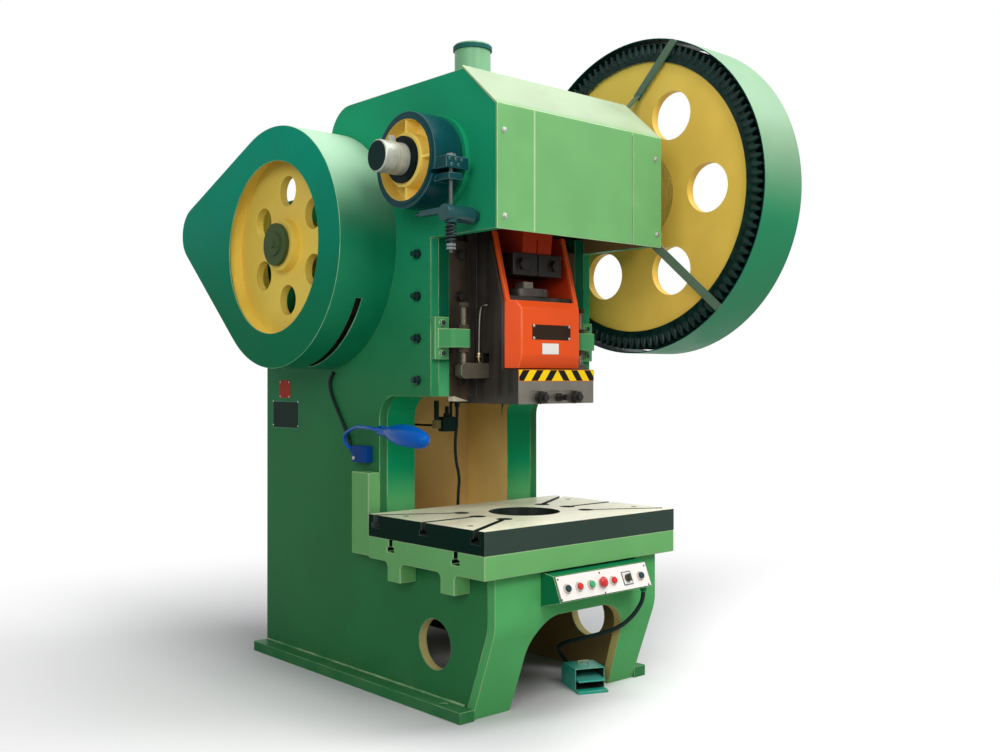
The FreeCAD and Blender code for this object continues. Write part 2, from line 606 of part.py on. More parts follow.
def brake_spring():
    """Compression spring: one unbroken wire on a helix of quarter-turn arc pairs."""
    low = SPRING_NUT_Z + SPRING_WIRE_R + SLIP
    rise = ANCHOR_Z - ANCHOR_R - 4 - SPRING_WIRE_R - SLIP - low
    rate = rise / (2 * math.pi * SPRING_TURNS)

    def spot(a):
        return V(ADJUST_X + SPRING_R * math.cos(a), ADJUST_Y + SPRING_R * math.sin(a),
                 low + rate * a)

    def heading(a):
        return V(-SPRING_R * math.sin(a), SPRING_R * math.cos(a), rate).normalize()

    edges = []
    for k in range(4 * SPRING_TURNS):
        a, b = k * math.pi / 2, (k + 1) * math.pi / 2
        p0, p1, t0, t1 = spot(a), spot(b), heading(a), heading(b)
        chord, sum_t = p1 - p0, t0 + t1
        spread = 2 * (1 - t0.dot(t1))
        along = chord.dot(sum_t)
        d = (math.sqrt(along ** 2 + spread * chord.dot(chord)) - along) / spread
        joint = (p0 + p1 + (t0 - t1) * d) * 0.5
        for start, corner, end in ((p0, p0 + t0 * d, joint), (joint, p1 - t1 * d, p1)):
            half = (start - corner).getAngle(end - corner) / 2
            middle = corner_arc(start, corner, end, d * math.tan(half))[1]
            edges.append(Part.Arc(start, middle, end).toShape())
    circle = Part.Wire([Part.Circle(spot(0), heading(0), SPRING_WIRE_R).toShape()])
    print("gap between coils", round(rise / SPRING_TURNS - 2 * SPRING_WIRE_R, 2), "mm")
    return Part.Wire(edges).makePipeShell([circle], True, False)


def connecting_rod():
    """Rod with its bored eye, tapered shank and split clamp with two bolts."""
    pin_z = CRANK_Z + THROW
    sections = []
    for w, d, z in ((ROD_X, 105, pin_z - 60), (ROD_X - 10, 78, CLAMP_Z[1] - 1)):
        sections.append(Part.makePolygon([V(-w, -d, z), V(w, -d, z), V(w, d, z), V(-w, d, z),
                                          V(-w, -d, z)]))
    rod = fused([
        bar_x((-ROD_X, ROD_X), 0, pin_z, ROD_EYE_R),
        Part.makeLoft(sections, True, True),
        slab_z([(-CLAMP_X, -CLAMP_Y, 10), (CLAMP_X, -CLAMP_Y, 10), (CLAMP_X, CLAMP_Y, 10),
                (-CLAMP_X, CLAMP_Y, 10)], CLAMP_Z),
    ])
    rod = rod.cut(bar_x((-ROD_X - 1, ROD_X + 1), 0, pin_z, PIN_R + RUN))
    rod = rod.cut(box((-3, 3), (-CLAMP_Y - 1, 0), (CLAMP_Z[0] - 1, CLAMP_Z[1] + 60)))
    bolts = [hex_prism(V(x, -CLAMP_Y, sum(CLAMP_Z) / 2), V(0, -1, 0), 46, 20) for x in (-92, 92)]
    return fused([rod] + bolts)


def ball_screw():
    """Adjusting screw: ball in the ram's socket and a square for the spanner above it."""
    collar = SEAT_Z + SEAT_RISE + 3
    return fused([
        Part.makeSphere(BALL_R, V(0, 0, BALL_Z)),
        bar_z(0, 0, (BALL_Z, collar), 34),
        box((-27, 27), (-27, 27), (collar, SCREW_TOP)),
    ])


def seat_ring():
    """Ring nut that holds the ball down in its socket."""
    ring = fused([bar_z(0, 0, (BALL_Z + 1, SEAT_Z), SEAT_BODY_R),
                  bar_z(0, 0, (SEAT_Z, SEAT_Z + SEAT_RISE), SEAT_R)])
    ring = ring.cut(Part.makeSphere(BALL_R + RUN, V(0, 0, BALL_Z)))
    return ring.cut(bar_z(0, 0, (BALL_Z, SEAT_Z + SEAT_RISE + 1), 44))


# ---------------------------------------------------------------- ram and its guides
def way(slack, z):
    """The wedge-shaped guide way on the right; slack widens it to make the groove."""
    grow = slack * math.sqrt(2)
    base = GIB_X[0] - SLIP
    root = RAM_X - 40
    return slab_z([
        (root, GIB_Y - WAY_HALF - grow), (base, GIB_Y - WAY_HALF - grow),
        (WAY_TIP_X + slack, GIB_Y - WAY_TIP_HALF - grow),
        (WAY_TIP_X + slack, GIB_Y + WAY_TIP_HALF + grow),
        (base, GIB_Y + WAY_HALF + grow), (root, GIB_Y + WAY_HALF + grow),
    ], z)


def ram():
    """Ram casting: foot, two sides, back and the floor with the ball socket."""
    low = RAM_Z + 30
    foot = box((-RAM_X, RAM_X), (SHOE_Y, RAM_BACK), (RAM_Z, SHOE_TOP))
    trunk = slab_x([(RAM_FACE_Y, SHOE_TOP - 1), (RAM_FACE_Y, SILL_Z), (RAM_LEAN_Y, RAM_TOP),
                    (RAM_BACK, RAM_TOP), (RAM_BACK, SHOE_TOP - 1)], (-RAM_X, RAM_X))
    wing = box((RAM_X - 1, GIB_X[0] - SLIP), (JAW_Y + 2, RAM_BACK), (low, RAM_TOP))
    wedge = way(0, (low, RAM_TOP))
    body = fused([foot, trunk, wing, wedge, other_side(wing), other_side(wedge)])
    body = body.cut(box((-POCKET_X, POCKET_X), (RAM_FACE_Y - 1, POCKET_BACK),
                        (SEAT_Z, RAM_TOP + 1)))
    body = body.cut(bar_z(0, 0, (BALL_Z, SEAT_Z + 1), SEAT_BODY_R))
    body = body.cut(Part.makeSphere(BALL_R + RUN, V(0, 0, BALL_Z)))
    slot_floor = BAR_TOP - BAR_H - SLIP
    body = body.cut(box((-GIB_X[0], GIB_X[0]), (-BAR_Y - SLIP, BAR_Y + SLIP),
                        (slot_floor, BAR_TOP + BAR_TRAVEL + SLIP)))
    body = body.cut(bar_z(0, 0, (RAM_Z, slot_floor + 1), EJECTOR_R))
    body = body.cut(box((-CLAMP_BLOCK_X, CLAMP_BLOCK_X), (SHOE_Y - 1, 0),
                        (RAM_Z - 1, CLAMP_BLOCK_TOP)))
    body = body.cut(bar_z(0, 0, (RAM_Z - 1, RAM_Z + SHANK_DEPTH), SHANK_R))
    for x in (-STUD_X, STUD_X):
        body = body.cut(bar_y(x, (-1, 80), STUD_Z, STUD_R))
    return body


def shank_clamp():
    """Block that grips a tool shank against the ram, with its studs, nuts and set screw."""
    block = box((-CLAMP_BLOCK_X, CLAMP_BLOCK_X), (SHOE_Y, -SLIP), (RAM_Z, CLAMP_BLOCK_TOP))
    block = block.cut(bar_z(0, 0, (RAM_Z - 1, RAM_Z + SHANK_DEPTH), SHANK_R))
    pieces = []
    for x in (-STUD_X, STUD_X):
        block = block.cut(bar_y(x, (SHOE_Y - 1, 1), STUD_Z, STUD_R + SLIP))
        pieces.append(fused([
            bar_y(x, (SHOE_Y - 42, 78), STUD_Z, STUD_R),
            bar_y(x, (SHOE_Y - 5, SHOE_Y), STUD_Z, 27),
            hex_prism(V(x, SHOE_Y - 5, STUD_Z), V(0, -1, 0), 46, 24),
        ]))
    block = block.cut(bar_y(SET_SCREW_X, (SHOE_Y - 1, -20), STUD_Z, SET_SCREW_R + SLIP))
    half = 12
    head = box((SET_SCREW_X - half, SET_SCREW_X + half), (SHOE_Y - 58, SHOE_Y - 38),
               (STUD_Z - half, STUD_Z + half))
    pieces.append(fused([
        bar_y(SET_SCREW_X, (SHOE_Y - 40, -SHANK_R - 3), STUD_Z, SET_SCREW_R),
        hex_prism(V(SET_SCREW_X, SHOE_Y, STUD_Z), V(0, -1, 0), 34, 12), head,
    ]))
    return Part.Compound([block] + pieces)


def ram_housing():
    """Painted front of the ram: a box with bevelled corners and two arms that lean back."""
    corner = RAM_X - 11
    plan = slab_z([(-corner, RAM_FACE_Y), (-HOUSING_X, HOUSING_Y), (HOUSING_X, HOUSING_Y),
                   (corner, RAM_FACE_Y)], (HOUSING_BOTTOM, SILL_Z))
    profile = slab_x([(RAM_FACE_Y, HOUSING_BOTTOM), (HOUSING_Y + 12, HOUSING_BOTTOM),
                      (HOUSING_Y, HOUSING_BOTTOM + 53, 60), (HOUSING_Y, SILL_Z - 33, 30),
                      (HOUSING_Y + 22, SILL_Z), (RAM_FACE_Y, SILL_Z)], (-RAM_X, RAM_X))
    arm = slab_x([(RAM_FACE_Y - ARM_T, SILL_Z - 1), (RAM_FACE_Y, SILL_Z - 1), (RAM_FACE_Y, SILL_Z),
                  (RAM_LEAN_Y, RAM_TOP), (RAM_LEAN_Y - ARM_T, RAM_TOP)], (POCKET_X, corner))
    return fused([plan.common(profile), arm, other_side(arm)])


def gibs():
    """Gibs with the wedge groove that guides the ram, fixed inside the jaws."""
    block = box(GIB_X, (JAW_Y, GIB_BACK), (JAW_Z, HEAD_Z))
    foot = box((GIB_X[0], GIB_X[1] - 23), (JAW_Y, JAW_Y + 35), (JAW_Z - 20, JAW_Z + 1))
    groove = way(SLIP, (JAW_Z - 21, HEAD_Z + 1))
    return pair(fused([block, foot]).cut(groove))


def gib_screws():
    """Adjusting screws through each side plate, and the bolts on the front of each gib."""
    pieces = []
    for z in GIB_SCREW_Z:
        screw = bar_x((GIB_X[1], SIDE_X + 34), GIB_Y, z, GIB_SCREW_R)
        pieces.append(fused([screw, hex_prism(V(SIDE_X, GIB_Y, z), V(1, 0, 0), 36, 15)]))
    for z in (GIB_SCREW_Z[0], GIB_SCREW_Z[2], GIB_SCREW_Z[3]):
        x = GIB_X[0] + 46
        pieces.append(fused([bar_y(x, (JAW_Y - 5, JAW_Y), z, 23),
                             hex_prism(V(x, JAW_Y - 4, z), V(0, -1, 0), 32, 14)]))
    return Part.Compound(pieces + [other_side(piece) for piece in pieces])


def knockout_brackets():
    """Cast brackets on the jaws whose arms hold the knock-out stop screws."""
    inner, outer = BRACKET_X
    plate = box(BRACKET_X, (JAW_Y - 20, JAW_Y), BRACKET_Z)
    arm = slab_z([(STOP_X - 26, -26, 22), (outer - 44, -26, 22), (outer - 12, JAW_Y - 10),
                  (outer - 12, JAW_Y - 8), (inner + 8, JAW_Y - 8), (inner + 8, 22, 10),
                  (STOP_X + 27, 26, 6), (STOP_X - 26, 26, 22)], ARM_Z)
    bolts = [hex_prism(V(inner + 36, JAW_Y - 20, z), V(0, -1, 0), 26, 10)
             for z in (BRACKET_Z[0] + 24, BRACKET_Z[1] - 24)]
    bracket = fused([plate, arm] + bolts)
    return pair(bracket.cut(bar_z(STOP_X, 0, (ARM_Z[0] - 1, ARM_Z[1] + 1), STOP_R)))


def stop_screws():
    """Long screws that stop the knock-out bar, with lock nuts above and below the arm."""
    pieces = [bar_z(STOP_X, 0, (BAR_TOP + SLIP, STOP_TOP), STOP_R)]
    for base in (ARM_Z[0] - 18, ARM_Z[1], STOP_TOP - 1):
        pieces.append(hex_prism(V(STOP_X, 0, base), V(0, 0, 1), 40, 18))
    return pair(fused(pieces))


def knockout_bar():
    """Flat bar across the ram that pushes a finished piece out of the tool."""
    low, end = BAR_TOP - BAR_H, BAR_X + 22
    return slab_y([(-end, low + 14), (-end, BAR_TOP - 12), (14 - end, BAR_TOP),
                   (end - 14, BAR_TOP), (end, BAR_TOP - 12), (end, low + 14),
                   (end - 18, low), (18 - end, low)], (-BAR_Y, BAR_Y))


# ---------------------------------------------------------------- geared drive
def toothed_blank(teeth, steps, centre, phase, x):
    """A spur gear blank with involute teeth, drawn as an outline and given its width."""
    pitch_r = MODULE * teeth / 2
    pressure = math.radians(20)
    base_r = pitch_r * math.cos(pressure)
    root, tip = pitch_r - 1.25 * MODULE, pitch_r + MODULE
    at_pitch = (math.pi * MODULE / 2 - BACKLASH / 2) / (2 * pitch_r)
    flank = []
    for k in range(steps + 1):
        r = root + (tip - root) * k / steps
        unwound = math.acos(base_r / max(r, base_r))
        half = at_pitch + math.tan(pressure) - pressure - math.tan(unwound) + unwound
        flank.append((r, half))
    points = []
    for k in range(teeth):
        middle = phase + 2 * math.pi * k / teeth
        for r, a in [(r, middle - h) for r, h in flank] + [(r, middle + h) for r, h in flank[::-1]]:
            points.append(V(x[0], centre[0] + r * math.cos(a), centre[1] + r * math.sin(a)))
    wire = Part.makePolygon(points + points[:1])
    return Part.Face(wire).extrude(V(x[1] - x[0], 0, 0))


def big_gear():
    """Cast gear wheel that runs free on the crankshaft until the clutch takes it."""
    phase = LINE_OF_CENTRES + math.pi / GEAR_TEETH
    gear = toothed_blank(GEAR_TEETH, 1, (0, CRANK_Z), phase, GEAR_X)
    inside = bar_x((GEAR_X[0] - 1, GEAR_X[1] + 1), 0, CRANK_Z, GEAR_R - 70)
    web = bar_x((GEAR_X[0] + 14, GEAR_X[0] + 54), 0, CRANK_Z, GEAR_R - 65)
    boss = bar_x((GEAR_X[0] - 104, GEAR_X[1] - 10), 0, CRANK_Z, 214)
    hub = bar_x((GEAR_X[1] - 20, CRANK_RIGHT_X - 24), 0, CRANK_Z, 150)
    gear = fused([gear.cut(inside), web, boss, hub])
    for k in range(6):
        a = math.radians(60 * k)
        gear = gear.cut(bar_x((GEAR_X[0], GEAR_X[1]), GEAR_HOLE_PITCH * math.cos(a),
                              CRANK_Z + GEAR_HOLE_PITCH * math.sin(a), GEAR_HOLE_R))
    return gear.cut(bar_x((GEAR_X[0] - 105, CRANK_RIGHT_X), 0, CRANK_Z, JOURNAL_R - 8 + RUN))


def pinion_bearings():
    """Flanged bearing sleeves of the pinion shaft."""
    run = PINION_SHAFT_R + RUN
    sleeve = tube_x((PINION_BOSS_X, SIDE_X + 22), SHAFT_Y, SHAFT_Z, PINION_SHAFT_R + BUSH_T, run)
    flange = tube_x((SIDE_X, SIDE_X + 22), SHAFT_Y, SHAFT_Z, PINION_BOSS_R, run)
    return pair(fused([sleeve, flange]))


def pinion_shaft():
    """Shaft behind the crank with the pinion cut on its right end."""
    pinion = toothed_blank(PINION_TEETH, 3, (SHAFT_Y, SHAFT_Z), LINE_OF_CENTRES + math.pi,
                           (GEAR_X[0] - 4, GEAR_X[1] + 4))
    shaft = bar_x((FLYWHEEL_X[0] + 6, GEAR_X[1] + 30), SHAFT_Y, SHAFT_Z, PINION_SHAFT_R)
    return fused([shaft, pinion])


def vee_ring(x, y, z, outer):
    """The ring of space that one V-belt and its side clearance take out of a wheel."""
    wide = BELT_W / 2 + SLIP
    narrow = wide - BELT_FLANK
    low = outer - BELT_H - SLIP
    section = Part.makePolygon([V(x - wide, y, z + outer + 1), V(x + wide, y, z + outer + 1),
                                V(x + wide, y, z + outer), V(x + narrow, y, z + low),
                                V(x - narrow, y, z + low), V(x - wide, y, z + outer),
                                V(x - wide, y, z + outer + 1)])
    return Part.Face(section).revolve(V(x, y, z), V(1, 0, 0), 360)


def flywheel():
    """Cast flywheel with belt grooves, a web with six holes and a long hub."""
    rim = tube_x(FLYWHEEL_X, SHAFT_Y, SHAFT_Z, FLYWHEEL_R, FLYWHEEL_R - FLYWHEEL_RIM)
    web = bar_x(FLYWHEEL_WEB_X, SHAFT_Y, SHAFT_Z, FLYWHEEL_R - FLYWHEEL_RIM + 2)
    hub = bar_x((FLYWHEEL_X[0] + 14, FLYWHEEL_X[1] + 10), SHAFT_Y, SHAFT_Z, 112)
    wheel = fused([rim, web, hub])
    for k in range(FLYWHEEL_HOLES):
        a = 2 * math.pi * (k + 0.5) / FLYWHEEL_HOLES
        wheel = wheel.cut(bar_x((FLYWHEEL_WEB_X[0] - 1, FLYWHEEL_WEB_X[1] + 1),
                                SHAFT_Y + FLYWHEEL_HOLE_PITCH * math.cos(a),
                                SHAFT_Z + FLYWHEEL_HOLE_PITCH * math.sin(a), FLYWHEEL_HOLE_R))
    wheel = wheel.cut(bar_x((FLYWHEEL_X[0], FLYWHEEL_X[1] + 11), SHAFT_Y, SHAFT_Z,
                            PINION_SHAFT_R))
    for x in BELT_X:
        wheel = wheel.cut(vee_ring(x, SHAFT_Y, SHAFT_Z, FLYWHEEL_R))
    return wheel


def hub_cap():
    """Cap over the end of the flywheel shaft, with its boss and two screws."""
    face = FLYWHEEL_X[0] + 6
    return fused([
        bar_x((face - 16, face), SHAFT_Y, SHAFT_Z, 92),
        bar_x((face - 24, face - 15), SHAFT_Y, SHAFT_Z, 50),
        bar_x((face - 32, face - 23), SHAFT_Y, SHAFT_Z, 15),
        bar_x((face - 29, face - 23), SHAFT_Y - 30, SHAFT_Z - 12, 7),
    ])


def v_belts():
    """Wedge-section belts that lie in the grooves of the flywheel and the motor pulley."""
    wheel, pulley = (SHAFT_Y, SHAFT_Z), (MOTOR_Y, MOTOR_Z)
    belts = []
    for x in BELT_X:
        left, right = x - BELT_W / 2, x + BELT_W / 2
        belt = loop_face(left, wheel, FLYWHEEL_R + 1, pulley, PULLEY_R + 1)
        belt = belt.extrude(V(BELT_W, 0, 0))
        deep = [loop_face(at, wheel, FLYWHEEL_R - BELT_H, pulley, PULLEY_R - BELT_H)
                for at in (left + BELT_FLANK, right - BELT_FLANK)]
        wide = [loop_face(at, wheel, FLYWHEEL_R, pulley, PULLEY_R) for at in (left, right)]
        belt = belt.cut(deep[0].extrude(V(BELT_W - 2 * BELT_FLANK, 0, 0)))
        for outer, inner in zip(wide, deep):
            belt = belt.cut(Part.makeLoft([outer.OuterWire, inner.OuterWire], True, True))
        belts.append(belt)
    return Part.Compound(belts)


def motor_pulley():
    """Grooved pulley on the shaft of the motor."""
    wheel = bar_x(PULLEY_X, MOTOR_Y, MOTOR_Z, PULLEY_R)
    for x in BELT_X:
        wheel = wheel.cut(vee_ring(x, MOTOR_Y, MOTOR_Z, PULLEY_R))
    shaft = bar_x((PULLEY_X[0] - 4, MOTOR_X[0] + MOTOR_SHAFT_IN), MOTOR_Y, MOTOR_Z,
                  MOTOR_SHAFT_R)
    return fused([wheel, shaft])


def motor():
    """Ribbed induction motor on feet, with its end shields, fan cover and terminal box."""
    left, right = MOTOR_X
    y, z = MOTOR_Y, MOTOR_Z
    pieces = [
        bar_x((left, left + 32), y, z, 62),
        Part.makeCone(MOTOR_R - 40, MOTOR_R - 6, 24, V(left + 22, y, z), V(1, 0, 0)),
        bar_x((left + 46, right - 70), y, z, MOTOR_R - 14),
        bar_x((right - 72, right), y, z, MOTOR_R - 4),
        box((left + 150, left + 290), (y - 70, y + 70), (z + MOTOR_R - 30, z + MOTOR_R + 52)),
    ]
    for k in range(20):
        if k % 10 not in (4, 5, 6) or k < 10:
            fin = box((left + 60, right - 72), (-2.5, 2.5), (MOTOR_R - 20, MOTOR_R))
            fin.rotate(V(0, 0, 0), V(1, 0, 0), 18 * k + 9)
            fin.translate(V(0, y, z))
            pieces.append(fin)
    for side in (-1, 1):
        foot = slab_x([(y + side * 60, z - MOTOR_R + 30), (y + side * 128, SHELF_Z[1] + 16),
                       (y + side * 140, SHELF_Z[1] + 16), (y + side * 140, SHELF_Z[1]),
                       (y + side * 60, SHELF_Z[1])], (left + 90, right - 120))
        pieces.append(foot)
    body = fused(pieces)
    return body.cut(bar_x((left - 1, left + MOTOR_SHAFT_IN + 1), y, z, MOTOR_SHAFT_R + RUN))


def motor_base():
    """Shelf behind the frame on two gussets."""
    shelf = box(SHELF_X, (BACK_Y, SHELF_Y), SHELF_Z)
    pieces = [shelf]
    for x in (SHELF_X[0] + 12, SHELF_X[1] - 27):
        pieces.append(slab_x([(BACK_Y, SHELF_Z[0] + 1), (SHELF_Y - 40, SHELF_Z[0] + 1),
                              (SHELF_Y - 40, SHELF_Z[0] - 30), (BACK_Y, SHELF_Z[0] - 330)],
                             (x, x + 15)))
    return fused(pieces)


def flywheel_guard():
    """Guard round flywheel, belts and pulley, with a round opening and a slot in its band."""
    wheel = (SHAFT_Y + WHEEL_GUARD_SHIFT[0], SHAFT_Z + WHEEL_GUARD_SHIFT[1])
    pulley = (MOTOR_Y, MOTOR_Z)
    left, right = WHEEL_GUARD_X
    guard = loop_face(left, wheel, WHEEL_GUARD_R, pulley, GUARD_TIP_R).extrude(V(right - left, 0, 0))
    inside = loop_face(left + SHEET, wheel, WHEEL_GUARD_R - SHEET, pulley, GUARD_TIP_R - SHEET)
    guard = guard.cut(inside.extrude(V(right - left, 0, 0)))
    guard = guard.cut(bar_x((left - 1, left + SHEET + 1), SHAFT_Y + WHEEL_OPENING_SHIFT[0],
                            SHAFT_Z + WHEEL_OPENING_SHIFT[1], WHEEL_OPENING_R))
    ring = tube_x((left + 115, left + 145), *wheel, WHEEL_GUARD_R + 20, WHEEL_GUARD_R - 20)
    reach = 2 * WHEEL_GUARD_R
    sector = [wheel]
    for angle in (207, 233, 260):
        a = math.radians(angle)
        sector.append((wheel[0] + reach * math.cos(a), wheel[1] + reach * math.sin(a)))
    return guard.cut(ring.common(slab_x(sector, (left, right))))


def flat_bar(start, end):
    """A welded strap, 40 wide and 8 thick, that starts and ends a little past its points."""
    along = (end - start).normalize()
    across = along.cross(V(1, 0, 0)).normalize()
    thick = across.cross(along).normalize() * 8
    a, b = start - along * 12, end + along * 4
    corner = a + across * 20
    face = Part.Face(Part.makePolygon([corner, a - across * 20, a - across * 20 - thick,
                                       corner - thick, corner]))
    return face.extrude(b - a)


def gear_guard():
    """Sheet band round gear and pinion, held off the side plate by welded straps."""
    gear, pinion = (0, CRANK_Z), (SHAFT_Y, SHAFT_Z)
    left, right = GUARD_X
    band = loop_face(left, gear, GUARD_R, pinion, GUARD_LOBE_R).extrude(V(right - left, 0, 0))
    inside = loop_face(left - 1, gear, GUARD_R - SHEET, pinion, GUARD_LOBE_R - SHEET)
    band = band.cut(inside.extrude(V(right - left + 2, 0, 0)))

    def spot(x, share, angle):
        turn = math.radians(angle)
        return V(x, share * GUARD_R * math.cos(turn), CRANK_Z + share * GUARD_R * math.sin(turn))

    routes = ((spot(SIDE_X, 0.37, 103), spot(left, 0.643, 93.8), spot(left, 0.995, 109.8)),
              (spot(SIDE_X, 0.553, 218.9), spot(left, 0.995, 227.6)),
              (spot(SIDE_X, 0.807, 15.9), spot(left, 0.892, 26.8), spot(left, 0.998, 31.8)))
    straps = []
    for route in routes:
        for start, end in zip(route, route[1:]):
            straps.append(flat_bar(start, end))
    reach = 2 * GUARD_R
    room = box((SIDE_X, left), (-reach, reach), (CRANK_Z - reach, CRANK_Z + reach))
    strap = fused(straps).common(room)
    disc = bar_x((SIDE_X, left), 0, CRANK_Z, GUARD_R)
    return fused([band] + strap.common(disc).Solids)


# ---------------------------------------------------------------- controls
PANEL_UP = V(0, BOX_LIP[0] - BOX_CHIN[0], BOX_LIP[1] - BOX_CHIN[1]).normalize()
PANEL_OUT = V(1, 0, 0).cross(PANEL_UP)


def on_panel(x, lift):
    """A point over the middle line of the panel, lifted off its outer face."""
    share = (CONTROL_Z - BOX_CHIN[1]) / (BOX_LIP[1] - BOX_CHIN[1])
    y = BOX_CHIN[0] + share * (BOX_LIP[0] - BOX_CHIN[0])
    return V(x, y, CONTROL_Z) + PANEL_OUT * (PANEL_SHEET + lift)


def stub(x, low, high, radius):
    """A round bar square to the panel between two heights over its face."""
    return Part.makeCylinder(radius, high - low, on_panel(x, low), PANEL_OUT)


def control_holes():
    reach = BOX_WALL + PANEL_SHEET + 1
    holes = [stub(x, -reach, 8, BUTTON_R + SLIP) for x in BUTTON_X]
    holes += [stub(x, -reach, 8, 8 + SLIP) for x in (MUSHROOM_X, SELECTOR_X)]
    return holes


def control_box():
    """Folded steel box under the bed, open at the back against the apron."""
    def shell(inset, x):
        slant = inset / abs(PANEL_OUT.y)
        return slab_x([(APRON_Y, BOX_BOTTOM + inset), (APRON_Y, BOX_TOP - inset),
                       (BOX_LIP[0] + slant, BOX_LIP[1] - inset),
                       (BOX_CHIN[0] + slant, BOX_CHIN[1] + inset * 0.7)], x)

    case = shell(0, BOX_X).cut(shell(BOX_WALL, (BOX_X[0] + BOX_WALL, BOX_X[1] - BOX_WALL)))
    for hole in control_holes():
        case = case.cut(hole)
    end = V(*CABLE_START)
    up = (end - V(*CABLE_NEXT)).normalize()
    return fused([case, Part.makeCylinder(CABLE_R + 4, 20, end, up)])


def control_panel():
    """White front plate with the collars of the push buttons and the selector's plate."""
    low = V(BOX_X[0] + 6, BOX_CHIN[0], BOX_CHIN[1]) + PANEL_UP * 4
    high = V(BOX_X[0] + 6, BOX_LIP[0], BOX_LIP[1]) - PANEL_UP * 3
    across = V(BOX_X[1] - BOX_X[0] - 12, 0, 0)
    face = Part.Face(Part.makePolygon([low, low + across, high + across, high, low]))
    pieces = [face.extrude(PANEL_OUT * PANEL_SHEET)]
    pieces += [stub(x, -0.5, 7, BEZEL_R) for x in BUTTON_X]
    pieces += [stub(MUSHROOM_X, -0.5, 4, 17), stub(SELECTOR_X, -0.5, 3, 16)]
    panel = fused(pieces)
    for hole in control_holes():
        panel = panel.cut(hole)
    return panel


def push_button(x):
    """Cap of a push button with its stem, standing proud by its travel and a little more."""
    inner = -BOX_WALL - PANEL_SHEET - 12
    cap = stub(x, inner, 7 + PRESS + 2, BUTTON_R)
    foremost = min(cap.Edges, key=lambda edge: edge.CenterOfMass.y)
    return cap.makeFillet(2, [foremost])


def emergency_button():
    """Mushroom head on its stem."""
    base = 4 + PRESS + 2
    head = stub(MUSHROOM_X, base, base + 12, MUSHROOM_R)
    dome = Part.makeSphere(MUSHROOM_R * 1.35, on_panel(MUSHROOM_X, base + 12 - MUSHROOM_R * 1.35))
    stem = stub(MUSHROOM_X, -BOX_WALL - PANEL_SHEET - 12, base + 1, 8)
    return fused([head.common(dome), stem])


def selector_knob():
    """Rotary selector: round base with a raised grip across it."""
    base = stub(SELECTOR_X, 3.3, 11, 15)
    stem = stub(SELECTOR_X, -BOX_WALL - PANEL_SHEET - 12, 4, 8)
    half = V(5, 0, 0)
    low = on_panel(SELECTOR_X, 10) - PANEL_UP * 15
    grip = Part.Face(Part.makePolygon([low - half, low + half, low + half + PANEL_UP * 30,
                                       low - half + PANEL_UP * 30, low - half]))
    return fused([base, stem, grip.extrude(PANEL_OUT * 11)])


def control_cable():
    """Lead from the underside of the control box to the back of the foot switch."""
    return cord([CABLE_START, CABLE_NEXT, (302, -380, 362), (286, -350, 312),
                 (250, -312, 268), (214, -236, 232), (172, -152, 204), (150, -86, 178),
                 (166, -32, 150), (206, 0, 118), (248, 12, 78), switch_spot(SWITCH_Y + 72, 45),
                 switch_spot(SWITCH_Y + 14, 45)], CABLE_R)


# ---------------------------------------------------------------- foot switch
def placed(shape):
    """Turns a foot switch piece to its place on the floor."""
    shape.rotate(V(0, 0, 0), V(0, 0, 1), SWITCH_TURN)
    shape.translate(V(SWITCH_PLACE[0], SWITCH_PLACE[1], 0))
    return shape


def switch_spot(y, z):
    """A point on the middle plane of the foot switch, in the frame of the press."""
    turn = math.radians(SWITCH_TURN)
    return (SWITCH_PLACE[0] - y * math.sin(turn), SWITCH_PLACE[1] + y * math.cos(turn), z)


def foot_switch_hood():
    """Cast guard over the pedal on its base plate, with a carrying loop and a cable gland."""
    t, top = SWITCH_WALL, SWITCH_H
    base = box((-SWITCH_X, SWITCH_X), (-SWITCH_Y, SWITCH_Y), (0, SWITCH_BASE))
    hood = slab_x([(SWITCH_FRONT, SWITCH_BASE - 1), (SWITCH_FRONT, top),
                   (SWITCH_Y - 30, top, 20), (SWITCH_Y, top - 30, 20),
                   (SWITCH_Y, SWITCH_BASE - 1)], (-SWITCH_X, SWITCH_X))
    room = slab_x([(SWITCH_FRONT - 1, SWITCH_BASE), (SWITCH_FRONT - 1, top - t),
                   (SWITCH_Y - 30 - t / 2, top - t, 20 - t),
                   (SWITCH_Y - t, top - 30 - t / 2, 20 - t), (SWITCH_Y - t, SWITCH_BASE)],
                  (t - SWITCH_X, SWITCH_X - t))
    loop = box((-24, 24), (10, 17), (top - 1, top + 16)).cut(
        box((-20, 20), (9, 18), (top - 2, top + 12)))
    gland = bar_y(0, (SWITCH_Y - 1, SWITCH_Y + 14), 45, CABLE_R + 4)
    body = fused([base, hood.cut(room), loop, gland])
    pin = bar_x((-SWITCH_X - 1, SWITCH_X + 1), PEDAL_Y, PEDAL_Z, PEDAL_PIN_R + RUN)
    return placed(body.cut(pin))


def foot_pedal():
    """Pedal plate on its pin."""
    half = SWITCH_X - SWITCH_WALL - 3
    plate = slab_x([(-84, 44), (-84, 49), (-78, 52), (PEDAL_Y + 8, PEDAL_Z + 12),
                    (PEDAL_Y + 14, PEDAL_Z - 6), (PEDAL_Y - 12, PEDAL_Z - 7), (-76, 44)],
                   (-half, half))
    pin = bar_x((-SWITCH_X + 0.5, SWITCH_X - 0.5), PEDAL_Y, PEDAL_Z, PEDAL_PIN_R)
    return placed(fused([plate, pin]))


